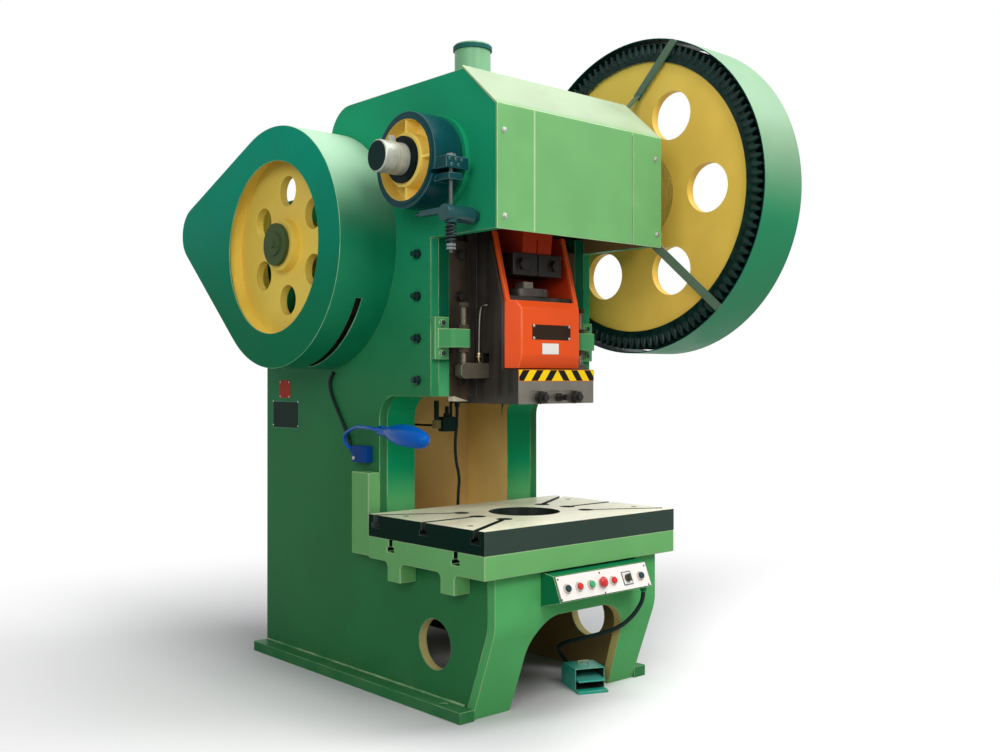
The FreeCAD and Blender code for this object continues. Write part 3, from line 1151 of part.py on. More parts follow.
# ---------------------------------------------------------------- lamp and oil pump
def lamp_arm():
    """Foot of the work lamp on the side plate and its bendable steel neck."""
    x = -SIDE_X - LAMP_T
    foot = slab_z([(x, LAMP_Y[0], 8), (x, LAMP_Y[1], 8), (-SIDE_X, LAMP_Y[1]),
                   (-SIDE_X, LAMP_Y[0])], LAMP_Z)
    socket = bar_y(x + 14, (LAMP_Y[1] - 1, LAMP_Y[1] + 14), LAMP_Z[1] - 18, GOOSENECK_R + 5)
    neck, tip = V(*SHADE_NECK), V(*SHADE_TIP)
    lead_in = neck - (tip - neck).normalize() * 90
    neck = cord([(x + 14, LAMP_Y[1] + 10, LAMP_Z[1] - 18), (x + 10, 592, 1006), (x, 608, 1038),
                 (x - 6, 584, 1066), (x - 14, 535, 1084), (x - 30, 464, 1099), tuple(lead_in),
                 SHADE_NECK], GOOSENECK_R)
    return fused([foot, socket, neck])


def lamp_shade():
    """Egg-shaped spun shade on its socket, open underneath towards the tool."""
    def egg(inset):
        r, length = SHADE_R - inset, SHADE_LENGTH
        points = [V(0, 0, 60 + inset), V(0, 21 - inset, 66 + inset), V(0, 36 - inset, 125),
                  V(0, r, 225), V(0, r - 9, length - 52),
                  V(0, 20 - inset / 2, length - 10 - inset), V(0, 0, length - inset)]
        curve = Part.BSplineCurve()
        curve.interpolate(points[1:])
        wire = Part.Wire([Part.LineSegment(points[0], points[1]).toShape(), curve.toShape(),
                          Part.LineSegment(points[-1], points[0]).toShape()])
        return Part.Face(wire).revolve(V(0, 0, 0), V(0, 0, 1), 360)

    shell = egg(0).cut(egg(2.5))
    shell = shell.cut(box((SHADE_CUT, 60), (-60, 60), (100, SHADE_LENGTH + 1)))
    socket = bar_z(0, 0, (0, 64), 17).fuse(bar_z(0, 0, (10, 66), 21)).removeSplitter()
    shade = fused([socket, shell])
    neck, tip = V(*SHADE_NECK), V(*SHADE_TIP)
    aim = (tip - neck).normalize()
    down = V(0, 0, -1)
    side = aim.cross(down).normalize()
    down = side.cross(aim)
    placing = FreeCAD.Matrix(down.x, side.x, aim.x, neck.x, down.y, side.y, aim.y, neck.y,
                             down.z, side.z, aim.z, neck.z, 0, 0, 0, 1)
    return shade.transformShape(placing)


def lamp_conduit():
    """Lead of the lamp along the side plate, from its entry to the foot of the lamp."""
    x = -SIDE_X - CONDUIT_R - SLIP
    return cord([(x, 738, 1326), (x, 772, 1300), (x, 762, 1240), (x, 712, 1170), (x, 660, 1100),
                 (x, 612, 1034), (x, 592, 974), (x, LAMP_Y[1] + SLIP, 974)], CONDUIT_R)


def oil_pump():
    """Hand oiler on a shelf from the back sheet: body, lever, inlet block and outlet pipe."""
    x, y, z = PUMP_X, PUMP_Y, PUMP_Z
    across, deep = (x[0] + x[1]) / 2, sum(y) / 2
    inlet, outlet = x[0] - 24, x[1] + 24
    return fused([
        slab_y([(x[0], z[0], 8), (x[0], z[1], 8), (x[1], z[1], 8), (x[1], z[0], 8)], y),
        box((x[0] + 14, x[1] - 14), (y[1] - 1, PANEL_Y), (z[0] + 20, z[0] + 28)),
        bar_z(across, deep, (z[1] - 1, z[1] + 14), 16),
        bar_z(across, deep, (z[1] + 13, z[1] + 46), 9),
        box((inlet, x[0] + 1), (deep - 8, deep + 8), (z[0] + 36, z[0] + 50)),
        box((inlet - 14, inlet + 14), (deep - 14, deep + 14), (z[0] + 14, z[0] + 52)),
        bar_z(inlet, deep, (z[0] + 51, PUMP_TOP), 11),
        bar_z(x[1] - 12, deep, (z[1] - 1, PUMP_TOP), 6),
        bar_x((x[1] - 12, outlet), deep, PUMP_TOP - 6, 6),
        bar_z(outlet, deep, (PUMP_TOP - 30, PUMP_TOP), LEAD_R + 4),
    ])


def pump_lead():
    """Oil line from the pump down to the floor of the throat."""
    x, y, z = PUMP_X[1] + 24, sum(PUMP_Y) / 2, PUMP_TOP - 30
    return cord([(x, y, z), (x, y, z - 68), (x - 12, y, z - 155), (x - 8, y, z - 240),
                 (x + 16, y, z - 320), (x + 4, y, z - 400), (x + 4, y, BED_TOP)], LEAD_R)


# ---------------------------------------------------------------- one file per piece
RIGHT_PLATE = side_plate()
PIECES = {
    "side_plate_right": RIGHT_PLATE,
    "side_plate_left": other_side(RIGHT_PLATE),
    "throat_columns": throat_columns(),
    "jaws": jaws(),
    "back_and_top_plate": back_and_top(),
    "throat_panel": throat_panel(),
    "front_apron": front_apron(),
    "bed": bed(),
    "foot_flanges": foot_flanges(),
    "bolster_plate": bolster(),
    "head_cover": head_cover(),
    "breather_pipe": breather(),
    "crank_bearings": crank_bearings(),
    "crankshaft": crankshaft(),
    "shaft_nuts": shaft_nuts(),
    "brake_drum": brake_drum(),
    "brake_band": brake_band(),
    "brake_rod": brake_rod(),
    "brake_anchor": brake_anchor(),
    "brake_spring": brake_spring(),
    "connecting_rod": connecting_rod(),
    "ball_screw": ball_screw(),
    "ball_seat_ring": seat_ring(),
    "ram_body": ram(),
    "shank_clamp": shank_clamp(),
    "ram_front_housing": ram_housing(),
    "gibs": gibs(),
    "gib_screws": gib_screws(),
    "knockout_brackets": knockout_brackets(),
    "stop_screws": stop_screws(),
    "knockout_bar": knockout_bar(),
    "big_gear": big_gear(),
    "pinion_bearings": pinion_bearings(),
    "pinion_shaft": pinion_shaft(),
    "flywheel": flywheel(),
    "hub_cap": hub_cap(),
    "v_belts": v_belts(),
    "motor_pulley": motor_pulley(),
    "motor": motor(),
    "motor_base": motor_base(),
    "flywheel_guard": flywheel_guard(),
    "gear_guard": gear_guard(),
    "control_box": control_box(),
    "control_panel": control_panel(),
    "start_button_left": push_button(BUTTON_X[0]),
    "stop_button": push_button(BUTTON_X[1]),
    "jog_button": push_button(BUTTON_X[2]),
    "top_stop_button": push_button(BUTTON_X[3]),
    "start_button_right": push_button(BUTTON_X[4]),
    "emergency_button": emergency_button(),
    "selector_knob": selector_knob(),
    "control_cable": control_cable(),
    "foot_switch_hood": foot_switch_hood(),
    "foot_pedal": foot_pedal(),
    "lamp_arm": lamp_arm(),
    "lamp_shade": lamp_shade(),
    "lamp_conduit": lamp_conduit(),
    "oil_pump": oil_pump(),
    "pump_lead": pump_lead(),
}

os.makedirs("parts", exist_ok=True)
for name, shape in PIECES.items():
    shape.exportStep("parts/" + name + ".step")
    print(name, len(shape.Solids), "solids", round(shape.Volume / 1e3), "cm3", shape.isValid())
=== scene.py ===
import json
import math

import bpy
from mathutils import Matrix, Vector

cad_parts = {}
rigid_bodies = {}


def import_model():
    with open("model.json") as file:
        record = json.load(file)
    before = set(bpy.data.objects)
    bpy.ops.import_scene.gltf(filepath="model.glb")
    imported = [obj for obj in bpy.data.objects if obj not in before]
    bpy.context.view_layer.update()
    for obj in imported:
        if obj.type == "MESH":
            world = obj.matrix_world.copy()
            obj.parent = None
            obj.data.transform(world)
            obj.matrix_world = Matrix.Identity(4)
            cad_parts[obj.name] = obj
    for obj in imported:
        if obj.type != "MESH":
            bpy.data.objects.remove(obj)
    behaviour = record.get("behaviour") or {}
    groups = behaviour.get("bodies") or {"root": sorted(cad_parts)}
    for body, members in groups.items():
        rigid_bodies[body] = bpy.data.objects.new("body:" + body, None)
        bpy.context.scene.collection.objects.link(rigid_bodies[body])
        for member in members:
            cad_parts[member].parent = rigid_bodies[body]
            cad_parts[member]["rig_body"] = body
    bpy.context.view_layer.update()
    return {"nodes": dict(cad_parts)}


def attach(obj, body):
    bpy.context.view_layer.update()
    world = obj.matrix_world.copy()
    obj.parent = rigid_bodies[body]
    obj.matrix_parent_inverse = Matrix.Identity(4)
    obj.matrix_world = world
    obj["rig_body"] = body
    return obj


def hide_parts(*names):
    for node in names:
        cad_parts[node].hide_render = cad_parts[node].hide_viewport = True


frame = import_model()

# ---- side plates of the C-frame
# Two flame-cut 40 mm plates with welded bearing bosses, ground at the edges and sprayed
# with a green machine enamel outside and brown primer inside the frame. The green carries painted
# light and shade: darker low down, lighter up the head.
PLATE_IN, PLATE_OUT = 0.418, 0.458
HOLE_Y, HOLE_Z, HOLE_R = 0.030, 0.250, 0.100
SLACK = 0.0005                      # a face this near to a plane lies in it
SHARP, ROUNDED = math.radians(34), math.radians(50)


class Value:
    """One shader socket. Arithmetic on it adds Math nodes to the finish it belongs to."""

    def __init__(self, finish, socket):
        self.finish = finish
        self.socket = socket

    def math(self, operation, a, b=0.0):
        return self.finish.add("ShaderNodeMath", {"operation": operation}, {0: a, 1: b})

    def __add__(self, other):
        return self.math("ADD", self, other)

    def __radd__(self, other):
        return self.math("ADD", other, self)

    def __sub__(self, other):
        return self.math("SUBTRACT", self, other)

    def __rsub__(self, other):
        return self.math("SUBTRACT", other, self)

    def __mul__(self, other):
        return self.math("MULTIPLY", self, other)

    def __rmul__(self, other):
        return self.math("MULTIPLY", other, self)

    def __truediv__(self, other):
        return self.math("DIVIDE", self, other)

    def __mod__(self, other):
        return self.math("FLOORED_MODULO", self, other)

    def __abs__(self):
        return self.math("ABSOLUTE", self)


class Finish:
    """A finish being mixed: a material, its nodes and its links."""

    def __init__(self, name, **fixed):
        self.material = bpy.data.materials.new(name)
        self.material.use_nodes = True
        tree = self.material.node_tree
        self.nodes, self.links = tree.nodes, tree.links
        self.shader = self.nodes["Principled BSDF"]
        for socket, value in fixed.items():
            self.shader.inputs[socket.replace("_", " ")].default_value = value
        self.place = self.add("ShaderNodeTexCoord", {}, {}, output="Object")

    def add(self, kind, settings, sockets, output=0):
        """Adds any node: its settings first, then the values or links of its sockets."""
        node = self.nodes.new(kind)
        for name, value in settings.items():
            setattr(node, name, value)
        for key, value in sockets.items():
            self.join(value, node.inputs[key])
        return Value(self, node.outputs[output])

    def join(self, value, socket):
        """Links a value to a socket, or sets a number or a colour on it."""
        if isinstance(value, Value):
            self.links.new(value.socket, socket)
        else:
            socket.default_value = (*value, 1) if socket.type == "RGBA" else value

    def set(self, socket, value):
        self.join(value, self.shader.inputs[socket])

    def axis(self, index):
        return self.add("ShaderNodeSeparateXYZ", {}, {0: self.place}, output=index)

    def noise(self, scale, detail=3.0, stretch=(1, 1, 1)):
        """Cloudy variation from 0 to 1; scale is in patches per metre."""
        spot = self.add("ShaderNodeMapping", {"vector_type": "POINT"},
                        {"Vector": self.place, "Scale": stretch})
        return self.add("ShaderNodeTexNoise", {},
                        {"Vector": spot, "Scale": scale, "Detail": detail, "Roughness": 0.55})

    def fade(self, value, low, high, to_low=0.0, to_high=1.0):
        return self.add("ShaderNodeMapRange", {"interpolation_type": "SMOOTHSTEP"},
                        {0: value, 1: low, 2: high, 3: to_low, 4: to_high})

    def blend(self, factor, a, b):
        """Colour a where factor is 0, and b where it is 1. A Mix node's colours go in at
        sockets 6 and 7 and come out at 2."""
        return self.add("ShaderNodeMix", {"data_type": "RGBA"}, {0: factor, 6: a, 7: b},
                        output=2)

    def shade(self, colour, amount):
        """A colour made lighter or darker all over."""
        return self.add("ShaderNodeVectorMath", {"operation": "SCALE"}, {0: colour, 3: amount})

    def bump(self, height, depth, strength=1.0):
        self.set("Normal", self.add("ShaderNodeBump", {},
                                    {"Height": height, "Distance": depth, "Strength": strength}))


def tone(colour, amount):
    """The same paint lighter (above 1) or darker (below 1)."""
    return tuple(min(1.0, c * amount) for c in colour)


def enamel(name, colour, rough=0.34, cast=0.0, age=0.5, coat=0.0, gloss=0.05,
           painted_light_above=None, span=(0.9, 2.35)):
    """Sprayed enamel: slow drifts of tone, fine orange peel and a little shop dust.
    cast adds the grain of a sand casting. painted_light_above is painted light or shade: the tone
    the paint turns to towards the upper end of span, lighter or darker with height as light
    falls."""
    paint = Finish(name, Coat_Weight=coat, Coat_Roughness=0.18, Specular_IOR_Level=gloss)
    drift = paint.noise(1.3, 2.0)
    cloud = paint.noise(7.0, 4.0)
    speck = paint.noise(150.0)
    height = paint.axis(2)
    # painted light and shade: the tone changes with height, standing for how light falls up the
    # piece
    if painted_light_above:
        base = paint.blend(paint.fade(height, span[0], span[1]), colour, painted_light_above)
        low, high = paint.shade(base, 0.92), paint.shade(base, 1.07)
    else:
        low, high = tone(colour, 0.92), tone(colour, 1.07)
    base = paint.blend(paint.fade(drift * 0.7 + cloud * 0.3, 0.36, 0.66), low, high)
    base = paint.blend(paint.fade(speck, 0.68, 0.82) * (0.12 * age), base, tone(colour, 0.35))
    dust = paint.fade(height, 0.0, 0.16, 0.30 * age, 0.0) * paint.fade(cloud, 0.35, 0.75)
    base = paint.blend(dust, base, (0.26, 0.24, 0.18))
    paint.set("Base Color", base)
    paint.set("Roughness", paint.fade(cloud * 0.7 + speck * 0.3, 0.25, 0.75,
                                      rough - 0.05, rough + 0.09))
    peel = paint.noise(420.0, 2.0)
    grain = paint.noise(95.0, 5.0)
    paint.bump(peel * (0.16 + 0.1 * cast) + grain * cast, 0.0005, 0.5)
    return paint.material


def worn_and_lit_edge(name, colour, bare=(0.3, 0.44, 0.22)):
    """Paint on a broken edge, paler than its face: partly wear, where the pale undercoat shows
    through in patches, and partly a painted highlight where the edge catches light.
    """
    edge = Finish(name, Specular_IOR_Level=0.12)
    rub = edge.noise(9.0, 4.0)
    chip = edge.noise(60.0, 4.0)
    # painted highlight: the whole edge is made paler than the face, with worn patches of pale
    # undercoat on top
    base = edge.blend(edge.fade(rub, 0.30, 0.75), tone(colour, 1.15), bare)
    base = edge.blend(edge.fade(chip, 0.70, 0.76) * 0.6, base, tone(bare, 1.25))
    edge.set("Base Color", base)
    edge.set("Roughness", edge.fade(chip, 0.3, 0.8, 0.3, 0.5))
    edge.bump(edge.noise(300.0, 2.0), 0.0003, 0.4)
    return edge.material


def only(piece):
    bpy.ops.object.select_all(action="DESELECT")
    piece.select_set(True)
    bpy.context.view_layer.objects.active = piece


def shared(name, made):
    """Puts new data, such as a mesh or a curve, in the scene under a name."""
    piece = bpy.data.objects.new(name, made)
    bpy.context.scene.collection.objects.link(piece)
    return piece


def applied(piece, kind, **settings):
    """Adds a modifier to the piece in hand, sets it and applies it."""
    step = piece.modifiers.new(kind.lower(), kind)
    for name, value in settings.items():
        setattr(step, name, value)
    bpy.ops.object.modifier_apply(modifier=step.name)


def kept_on(piece, body):
    """Says what a piece rides on."""
    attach(piece, body)
    return piece


def dressed(node, finish, edge=0.002, rim=None, areas=(), flat_within=0.6):
    """The CAD piece with its sharp edges broken: a merged copy that stands for the node.
    rim is the finish of the broken edges. Each area is a finish and a test that picks its
    faces by where they are and the way they look out. Faces that meet within flat_within
    degrees are made one."""
    source = frame["nodes"][node]
    piece = shared(node + "_finished", source.data.copy())
    piece.data.materials.clear()
    only(piece)
    bpy.ops.object.mode_set(mode="EDIT")
    bpy.ops.mesh.select_all(action="SELECT")
    bpy.ops.mesh.remove_doubles(threshold=0.00001)
    bpy.ops.object.mode_set(mode="OBJECT")
    for material in [finish, rim or finish] + [area[0] for area in areas]:
        piece.data.materials.append(material)
    piece.data.polygons.foreach_set("material_index", [0] * len(piece.data.polygons))
    for index, (_, test) in enumerate(areas, 2):
        for face in piece.data.polygons:
            if test(face.center, face.normal):
                face.material_index = index
    bpy.ops.object.mode_set(mode="EDIT")
    bpy.ops.mesh.select_all(action="SELECT")
    bpy.ops.mesh.dissolve_limited(angle_limit=math.radians(flat_within),
                                  delimit={"NORMAL", "MATERIAL"})
    bpy.ops.object.mode_set(mode="OBJECT")
    if edge:
        applied(piece, "BEVEL", width=edge, segments=2, limit_method="ANGLE",
                angle_limit=SHARP, use_clamp_overlap=False, material=1 if rim else -1)
    bpy.ops.object.shade_smooth_by_angle(angle=ROUNDED)
    applied(piece, "WEIGHTED_NORMAL", keep_sharp=True)
    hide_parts(node)
    kept_on(piece, source["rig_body"])


PALE_GREEN = (0.2, 0.4, 0.17)
# painted light and shade: darker green low on the frame, lighter and bluer up the head
frame_paint = enamel("frame_enamel", (0.027, 0.176, 0.058), rough=0.38,
                     painted_light_above=(0.01, 0.33, 0.16))
frame_edge = worn_and_lit_edge("frame_edge_enamel", (0.035, 0.19, 0.07))
inner_primer = enamel("inner_primer", (0.3, 0.2, 0.075), rough=0.6)
hole_primer = enamel("hole_primer", (0.6, 0.5, 0.2), rough=0.5)


def inside_of_plate(at, out):
    return abs(at.x) < PLATE_IN + SLACK and abs(out.x) > 0.5


def bore_of_plate(at, out):
    """The thickness of the plate inside the big hole at its foot."""
    toward = (HOLE_Y - at.y) * out.y + (HOLE_Z - at.z) * out.z
    return abs(out.x) < 0.3 and toward > 0.9 * HOLE_R and at.z < HOLE_Z + HOLE_R + 0.005


for side_plate in ("side_plate_left", "side_plate_right"):
    dressed(side_plate, frame_paint, 0.0025, frame_edge,
            [(inner_primer, inside_of_plate), (hole_primer, bore_of_plate)])

# ---- bent plates between the sides
# The throat lining, the jaws, the plate over the head and down the back, and the apron with
# its arch are 40 and 30 mm plates, welded in and painted with the side plates.
COLUMN_IN = 0.270
ARCH_HALF, ARCH_TOP = 0.33, 0.40


def faces_the_middle(at, out):
    """The throat side of the column walls, brown like the sheet behind them."""
    return abs(out.x) > 0.9 and abs(at.x) < COLUMN_IN + SLACK


# painted light and shade: lighter low on the columns where light comes back off the bolster,
# darker higher up in the shade of the head
column_paint = enamel("column_enamel", (0.11, 0.4, 0.135), painted_light_above=(0.001, 0.275, 0.105),
                      span=(0.70, 0.94))
wall_primer = enamel("wall_primer", (0.88, 0.64, 0.22), rough=0.55)
dressed("throat_columns", column_paint, 0.0025, frame_edge, [(wall_primer, faces_the_middle)])
# painted light and shade: lighter at the foot of the jaws, darker up under the head
jaw_paint = enamel("jaw_enamel", (0.06, 0.33, 0.13), painted_light_above=(0.001, 0.105, 0.05),
                   span=(1.20, 1.50))
dressed("jaws", jaw_paint, 0.002, frame_edge)
dressed("back_and_top_plate", frame_paint, 0.002, frame_edge)
apron_paint = enamel("apron_enamel", (0.088, 0.405, 0.128), rough=0.36)
arch_primer = enamel("arch_primer", (0.48, 0.39, 0.125), rough=0.5)


def side_of_arch(at, out):
    """The thickness of the plate round the arch, seen from the front."""
    return (abs(at.x) < ARCH_HALF and at.z < ARCH_TOP and abs(out.y) < 0.5
            and out.z > -0.98)


dressed("front_apron", apron_paint, 0.002, worn_and_lit_edge("apron_edge_enamel", PALE_GREEN),
        [(inner_primer, lambda at, out: out.y > 0.7), (arch_primer, side_of_arch)],
        flat_within=0.02)

# ---- feet of the frame
# Flat bars welded along the foot of each side plate, drilled for the foundation bolts,
# with a fillet weld along the top. Paint bridges the bead.
dressed("foot_flanges", frame_paint, 0.002, frame_edge)


def named(name):
    """The piece that was just made, under its name."""
    piece = bpy.context.active_object
    piece.name = name
    return piece


def weld_bead(name, start, end, radius, finish):
    """A laid bead between two points: a strip rolled round its line and swelled ring by ring."""
    start, end = Vector(start), Vector(end)
    rings = max(8, int((end - start).length / (radius * 1.2)))
    bpy.ops.mesh.primitive_grid_add(x_subdivisions=rings, y_subdivisions=6, size=1)
    bead = named(name)
    along = (end - start).normalized()
    side = along.orthogonal().normalized()
    up = along.cross(side)
    for vertex in bead.data.vertices:
        share, turn = vertex.co.x + 0.5, (vertex.co.y + 0.5) * 2 * math.pi
        swell = 1 + 0.09 * math.sin(share * rings * math.pi) + 0.05 * math.sin(share * 37)
        spoke = side * math.cos(turn) + up * math.sin(turn)
        vertex.co = start + (end - start) * share + spoke * radius * swell
    only(bead)
    bpy.ops.object.mode_set(mode="EDIT")
    bpy.ops.mesh.select_all(action="SELECT")
    bpy.ops.mesh.remove_doubles(threshold=0.0001)
    bpy.ops.mesh.normals_make_consistent(inside=False)
    bpy.ops.object.mode_set(mode="OBJECT")
    bpy.ops.object.shade_smooth_by_angle(angle=math.radians(60))
    bead.data.materials.append(finish)
    kept_on(bead, "frame")


WELD_X, WELD_Z, WELD_BACK, WELD_FRONT = 0.459, 0.046, 1.322, -0.16
for name, x in (("foot_weld_left", -WELD_X), ("foot_weld_right", WELD_X)):
    weld_bead(name, (x, WELD_FRONT, WELD_Z), (x, WELD_BACK, WELD_Z), 0.006, frame_edge)

# ---- bed
# One grey-iron casting with rear shoulders and ribs, sand-cast skin under a paler green.
bed_paint = enamel("bed_enamel", (0.155, 0.43, 0.148), rough=0.36, cast=0.3)
slot_dark = enamel("bed_slot_dark", (0.004, 0.012, 0.008), rough=0.5)
BED_SLOT_Y, BED_SLOT_HALF = (-0.196, 0.214), 0.023
BED_SLOT_FLOOR, BED_TOP = 0.600, 0.652


def slot_of_bed(at, out):
    """Walls of the two T-slots under the bolster."""
    off = min(abs(at.y - y) for y in BED_SLOT_Y)
    return (off < BED_SLOT_HALF + SLACK and BED_SLOT_FLOOR - SLACK < at.z < BED_TOP - SLACK
            and abs(out.x) < 0.5)


dressed("bed", bed_paint, 0.004, worn_and_lit_edge("bed_edge_enamel", PALE_GREEN),
        [(slot_dark, slot_of_bed)])

# ---- bolster plate
# A thick steel plate planed on top, with drop hole and T-slots milled in; its edges are
# painted almost black and the slots are left oily.
BOLSTER_X, BOLSTER_Y, BOLSTER_TOP = 0.540, 0.364, 0.742


def ground_steel(name, colour, rough, run, marks=0.5, metal=0.85):
    """Ground or planed steel: fine marks that run along one axis, and a film of oil."""
    stretch = tuple(0.02 if axis == run else 1.0 for axis in range(3))
    steel = Finish(name, Metallic=metal)
    mark = steel.noise(700.0, 2.0, stretch)
    cloud = steel.noise(7.0, 4.0)
    spot = steel.noise(42.0, 5.0)
    base = steel.blend(steel.fade(cloud * 0.6 + mark * 0.4, 0.3, 0.7),
                       tone(colour, 0.8), tone(colour, 1.1))
    base = steel.blend(steel.fade(spot, 0.62, 0.78) * 0.3, base, tone(colour, 0.45))
    steel.set("Base Color", base)
    steel.set("Roughness", steel.fade(mark * 0.5 + cloud * 0.5, 0.3, 0.7,
                                      rough - 0.08, rough + 0.1))
    steel.bump(mark, 0.00025 * marks, 0.6)
    return steel.material


def oily_iron(name, colour, rough=0.42):
    """Scraped cast iron under a film of way oil, darker where the oil has gathered."""
    iron = Finish(name, Metallic=0.15, Specular_IOR_Level=0.3)
    cloud = iron.noise(5.0, 4.0)
    run = iron.noise(24.0, 4.0, (1.0, 1.0, 0.12))
    pit = iron.noise(210.0, 4.0)
    base = iron.blend(iron.fade(cloud * 0.5 + run * 0.5, 0.32, 0.68),
                      tone(colour, 0.6), tone(colour, 1.35))
    base = iron.blend(iron.fade(pit, 0.63, 0.76) * 0.5, base, (0.01, 0.008, 0.006))
    iron.set("Base Color", base)
    iron.set("Roughness", iron.fade(run, 0.3, 0.7, rough - 0.12, rough + 0.16))
    iron.bump(pit, 0.0004, 0.5)
    return iron.material


bolster_side = enamel("bolster_side_paint", (0.034, 0.058, 0.046), rough=0.42)
# painted shade: the end faces get a darker copy of the side paint
shaded_bolster_end = enamel("bolster_end_painted_shade", (0.002, 0.016, 0.011), rough=0.4, gloss=0.02)
# painted sheen: the planed top is given a near-white cream, not metal, standing for the bright
# reflection of light off it
planed_top_sheen = ground_steel("planed_top_sheen", (0.99, 0.95, 0.7), 0.36, 0, metal=0.0)
slot_iron = oily_iron("slot_iron", (0.012, 0.02, 0.015))
plate_edge = worn_and_lit_edge("bolster_edge_paint", (0.02, 0.04, 0.032), (0.1, 0.12, 0.09))
dressed("bolster_plate", slot_iron, 0.0012, plate_edge,
        [(planed_top_sheen, lambda at, out: out.z > 0.9 and at.z > BOLSTER_TOP - SLACK),
         (bolster_side, lambda at, out: abs(at.y) > BOLSTER_Y - SLACK or out.z < -0.9),
         (shaded_bolster_end, lambda at, out: abs(at.x) > BOLSTER_X - SLACK)])

# ---- back of the throat
# Thin sheet that closes the throat behind the columns, in flat brown primer.
dressed("throat_panel", enamel("throat_sheet_primer", (0.8, 0.56, 0.215), rough=0.62), 0.001)

# ---- head cover
# One bent sheet over the front of the head, in three fields, held by a screw with a washer
# at each corner. A pale strip in the left seam is a painted highlight along its folded edge, and
# the slope at the top is painted paler as a painted reflection.
# painted reflection: the slope at the top of the cover is painted paler, as the sheen of light
# off it
cover_paint = enamel("cover_enamel", (0.155, 0.405, 0.145), rough=0.36, gloss=0.2,
                     painted_light_above=(0.36, 0.46, 0.3), span=(2.312, 2.350))
dressed("head_cover", cover_paint, 0.002,
        worn_and_lit_edge("cover_edge_enamel", (0.3, 0.5, 0.22), (0.5, 0.62, 0.4)))
dark_steel = ground_steel("dark_steel", (0.07, 0.08, 0.08), 0.34, 0, 0.3, 0.5)
bare_steel = ground_steel("bare_steel", (0.5, 0.5, 0.47), 0.3, 2, 0.3)


def cap_screw(name, base, toward, radius, rise, finish, sides, recess=False):
    """A screw head on a round washer: a disc drawn up and inset, its rim broken. With 6
    sides it is a hexagon head."""
    bpy.ops.mesh.primitive_circle_add(vertices=sides, radius=radius, fill_type="NGON")
    head = named(name)
    bpy.ops.object.mode_set(mode="EDIT")
    bpy.ops.mesh.extrude_region_move(TRANSFORM_OT_translate={"value": (0, 0, rise)})
    bpy.ops.mesh.inset(thickness=radius * 0.16, depth=rise * 0.14)
    if recess:
        bpy.ops.mesh.inset(thickness=radius * 0.3, depth=0)
        bpy.ops.mesh.extrude_region_move(TRANSFORM_OT_translate={"value": (0, 0, -rise * 0.4)})
    bpy.ops.mesh.select_all(action="SELECT")
    bpy.ops.mesh.normals_make_consistent(inside=False)
    bpy.ops.object.mode_set(mode="OBJECT")
    bpy.ops.mesh.primitive_cylinder_add(vertices=28, radius=radius * 1.42, depth=rise * 0.3,
                                        location=(0, 0, rise * 0.15))
    washer = bpy.context.active_object
    bpy.ops.object.transform_apply(location=True)
    only(head)
    washer.select_set(True)
    bpy.ops.object.join()
    turn = Vector((0, 0, 1)).rotation_difference(Vector(toward).normalized())
    for vertex in head.data.vertices:
        vertex.co = turn @ vertex.co + Vector(base)
    applied(head, "BEVEL", width=radius * 0.05, segments=1)
    bpy.ops.object.shade_smooth_by_angle(angle=math.radians(40))
    head.data.materials.append(finish)
    return head


def screws(name, places, toward, radius, rise, sides):
    """Bare screws on the frame: the first is made and the others are its copies."""
    first = cap_screw(f"{name}_1", places[0], toward, radius, rise, bare_steel, sides)
    kept_on(first, "frame")
    for number, place in enumerate(places[1:], 2):
        twin = shared(f"{name}_{number}", first.data.copy())
        for vertex in twin.data.vertices:
            vertex.co += Vector(place) - Vector(places[0])
        kept_on(twin, "frame")


COVER_FACE_Y = -0.354
screws("cover_screw", [(-0.434, COVER_FACE_Y, 2.226), (-0.431, COVER_FACE_Y, 1.907),
                       (0.429, COVER_FACE_Y, 2.230), (0.440, COVER_FACE_Y, 1.913)],
       (0, -1, 0), 0.008, 0.007, 6)


def plate(name, centre, size, toward, border, finish, body, field=None, lift=0.0,
          edge=0.0006):
    """A thin plate from a cube: its outer face inset by the border, and its edges broken.
    field is the finish inside the border, and lift is how far that face stands out."""
    bpy.ops.mesh.primitive_cube_add(size=1)
    made = named(name)
    bpy.ops.object.mode_set(mode="EDIT")
    bpy.ops.transform.resize(value=size)
    bpy.ops.transform.translate(value=centre)
    bpy.ops.mesh.select_all(action="DESELECT")
    bpy.ops.object.mode_set(mode="OBJECT")
    made.data.materials.append(finish)
    made.data.materials.append(field or finish)
    for face in made.data.polygons:
        face.select = face.normal.dot(Vector(toward)) > 0.9
    bpy.ops.object.mode_set(mode="EDIT")
    bpy.ops.mesh.select_mode(type="FACE")
    bpy.ops.mesh.inset(thickness=border, depth=lift)
    bpy.context.object.active_material_index = 1
    bpy.ops.object.material_slot_assign()
    bpy.ops.object.mode_set(mode="OBJECT")
    applied(made, "BEVEL", width=edge, segments=2)
    bpy.ops.object.shade_smooth_by_angle(angle=math.radians(40))
    return kept_on(made, body)


# painted highlight: a pale strip laid in the left seam stands for light along the folded edge of
# the sheet
seam_highlight = enamel("seam_painted_highlight", (0.42, 0.6, 0.36), rough=0.5, coat=0.1)
plate("cover_seam_highlight", (-0.278, -0.3524, 2.086), (0.0046, 0.0024, 0.448), (0, -1, 0),
      0.0008, seam_highlight, "frame", edge=0.0004)
shadow_gap = enamel("seam_shadow", (0.02, 0.06, 0.024), rough=0.6)
plate("cover_seam_gap", (0.285, -0.3522, 2.086), (0.0036, 0.0012, 0.448), (0, -1, 0),
      0.0006, shadow_gap, "frame", edge=0.0002)

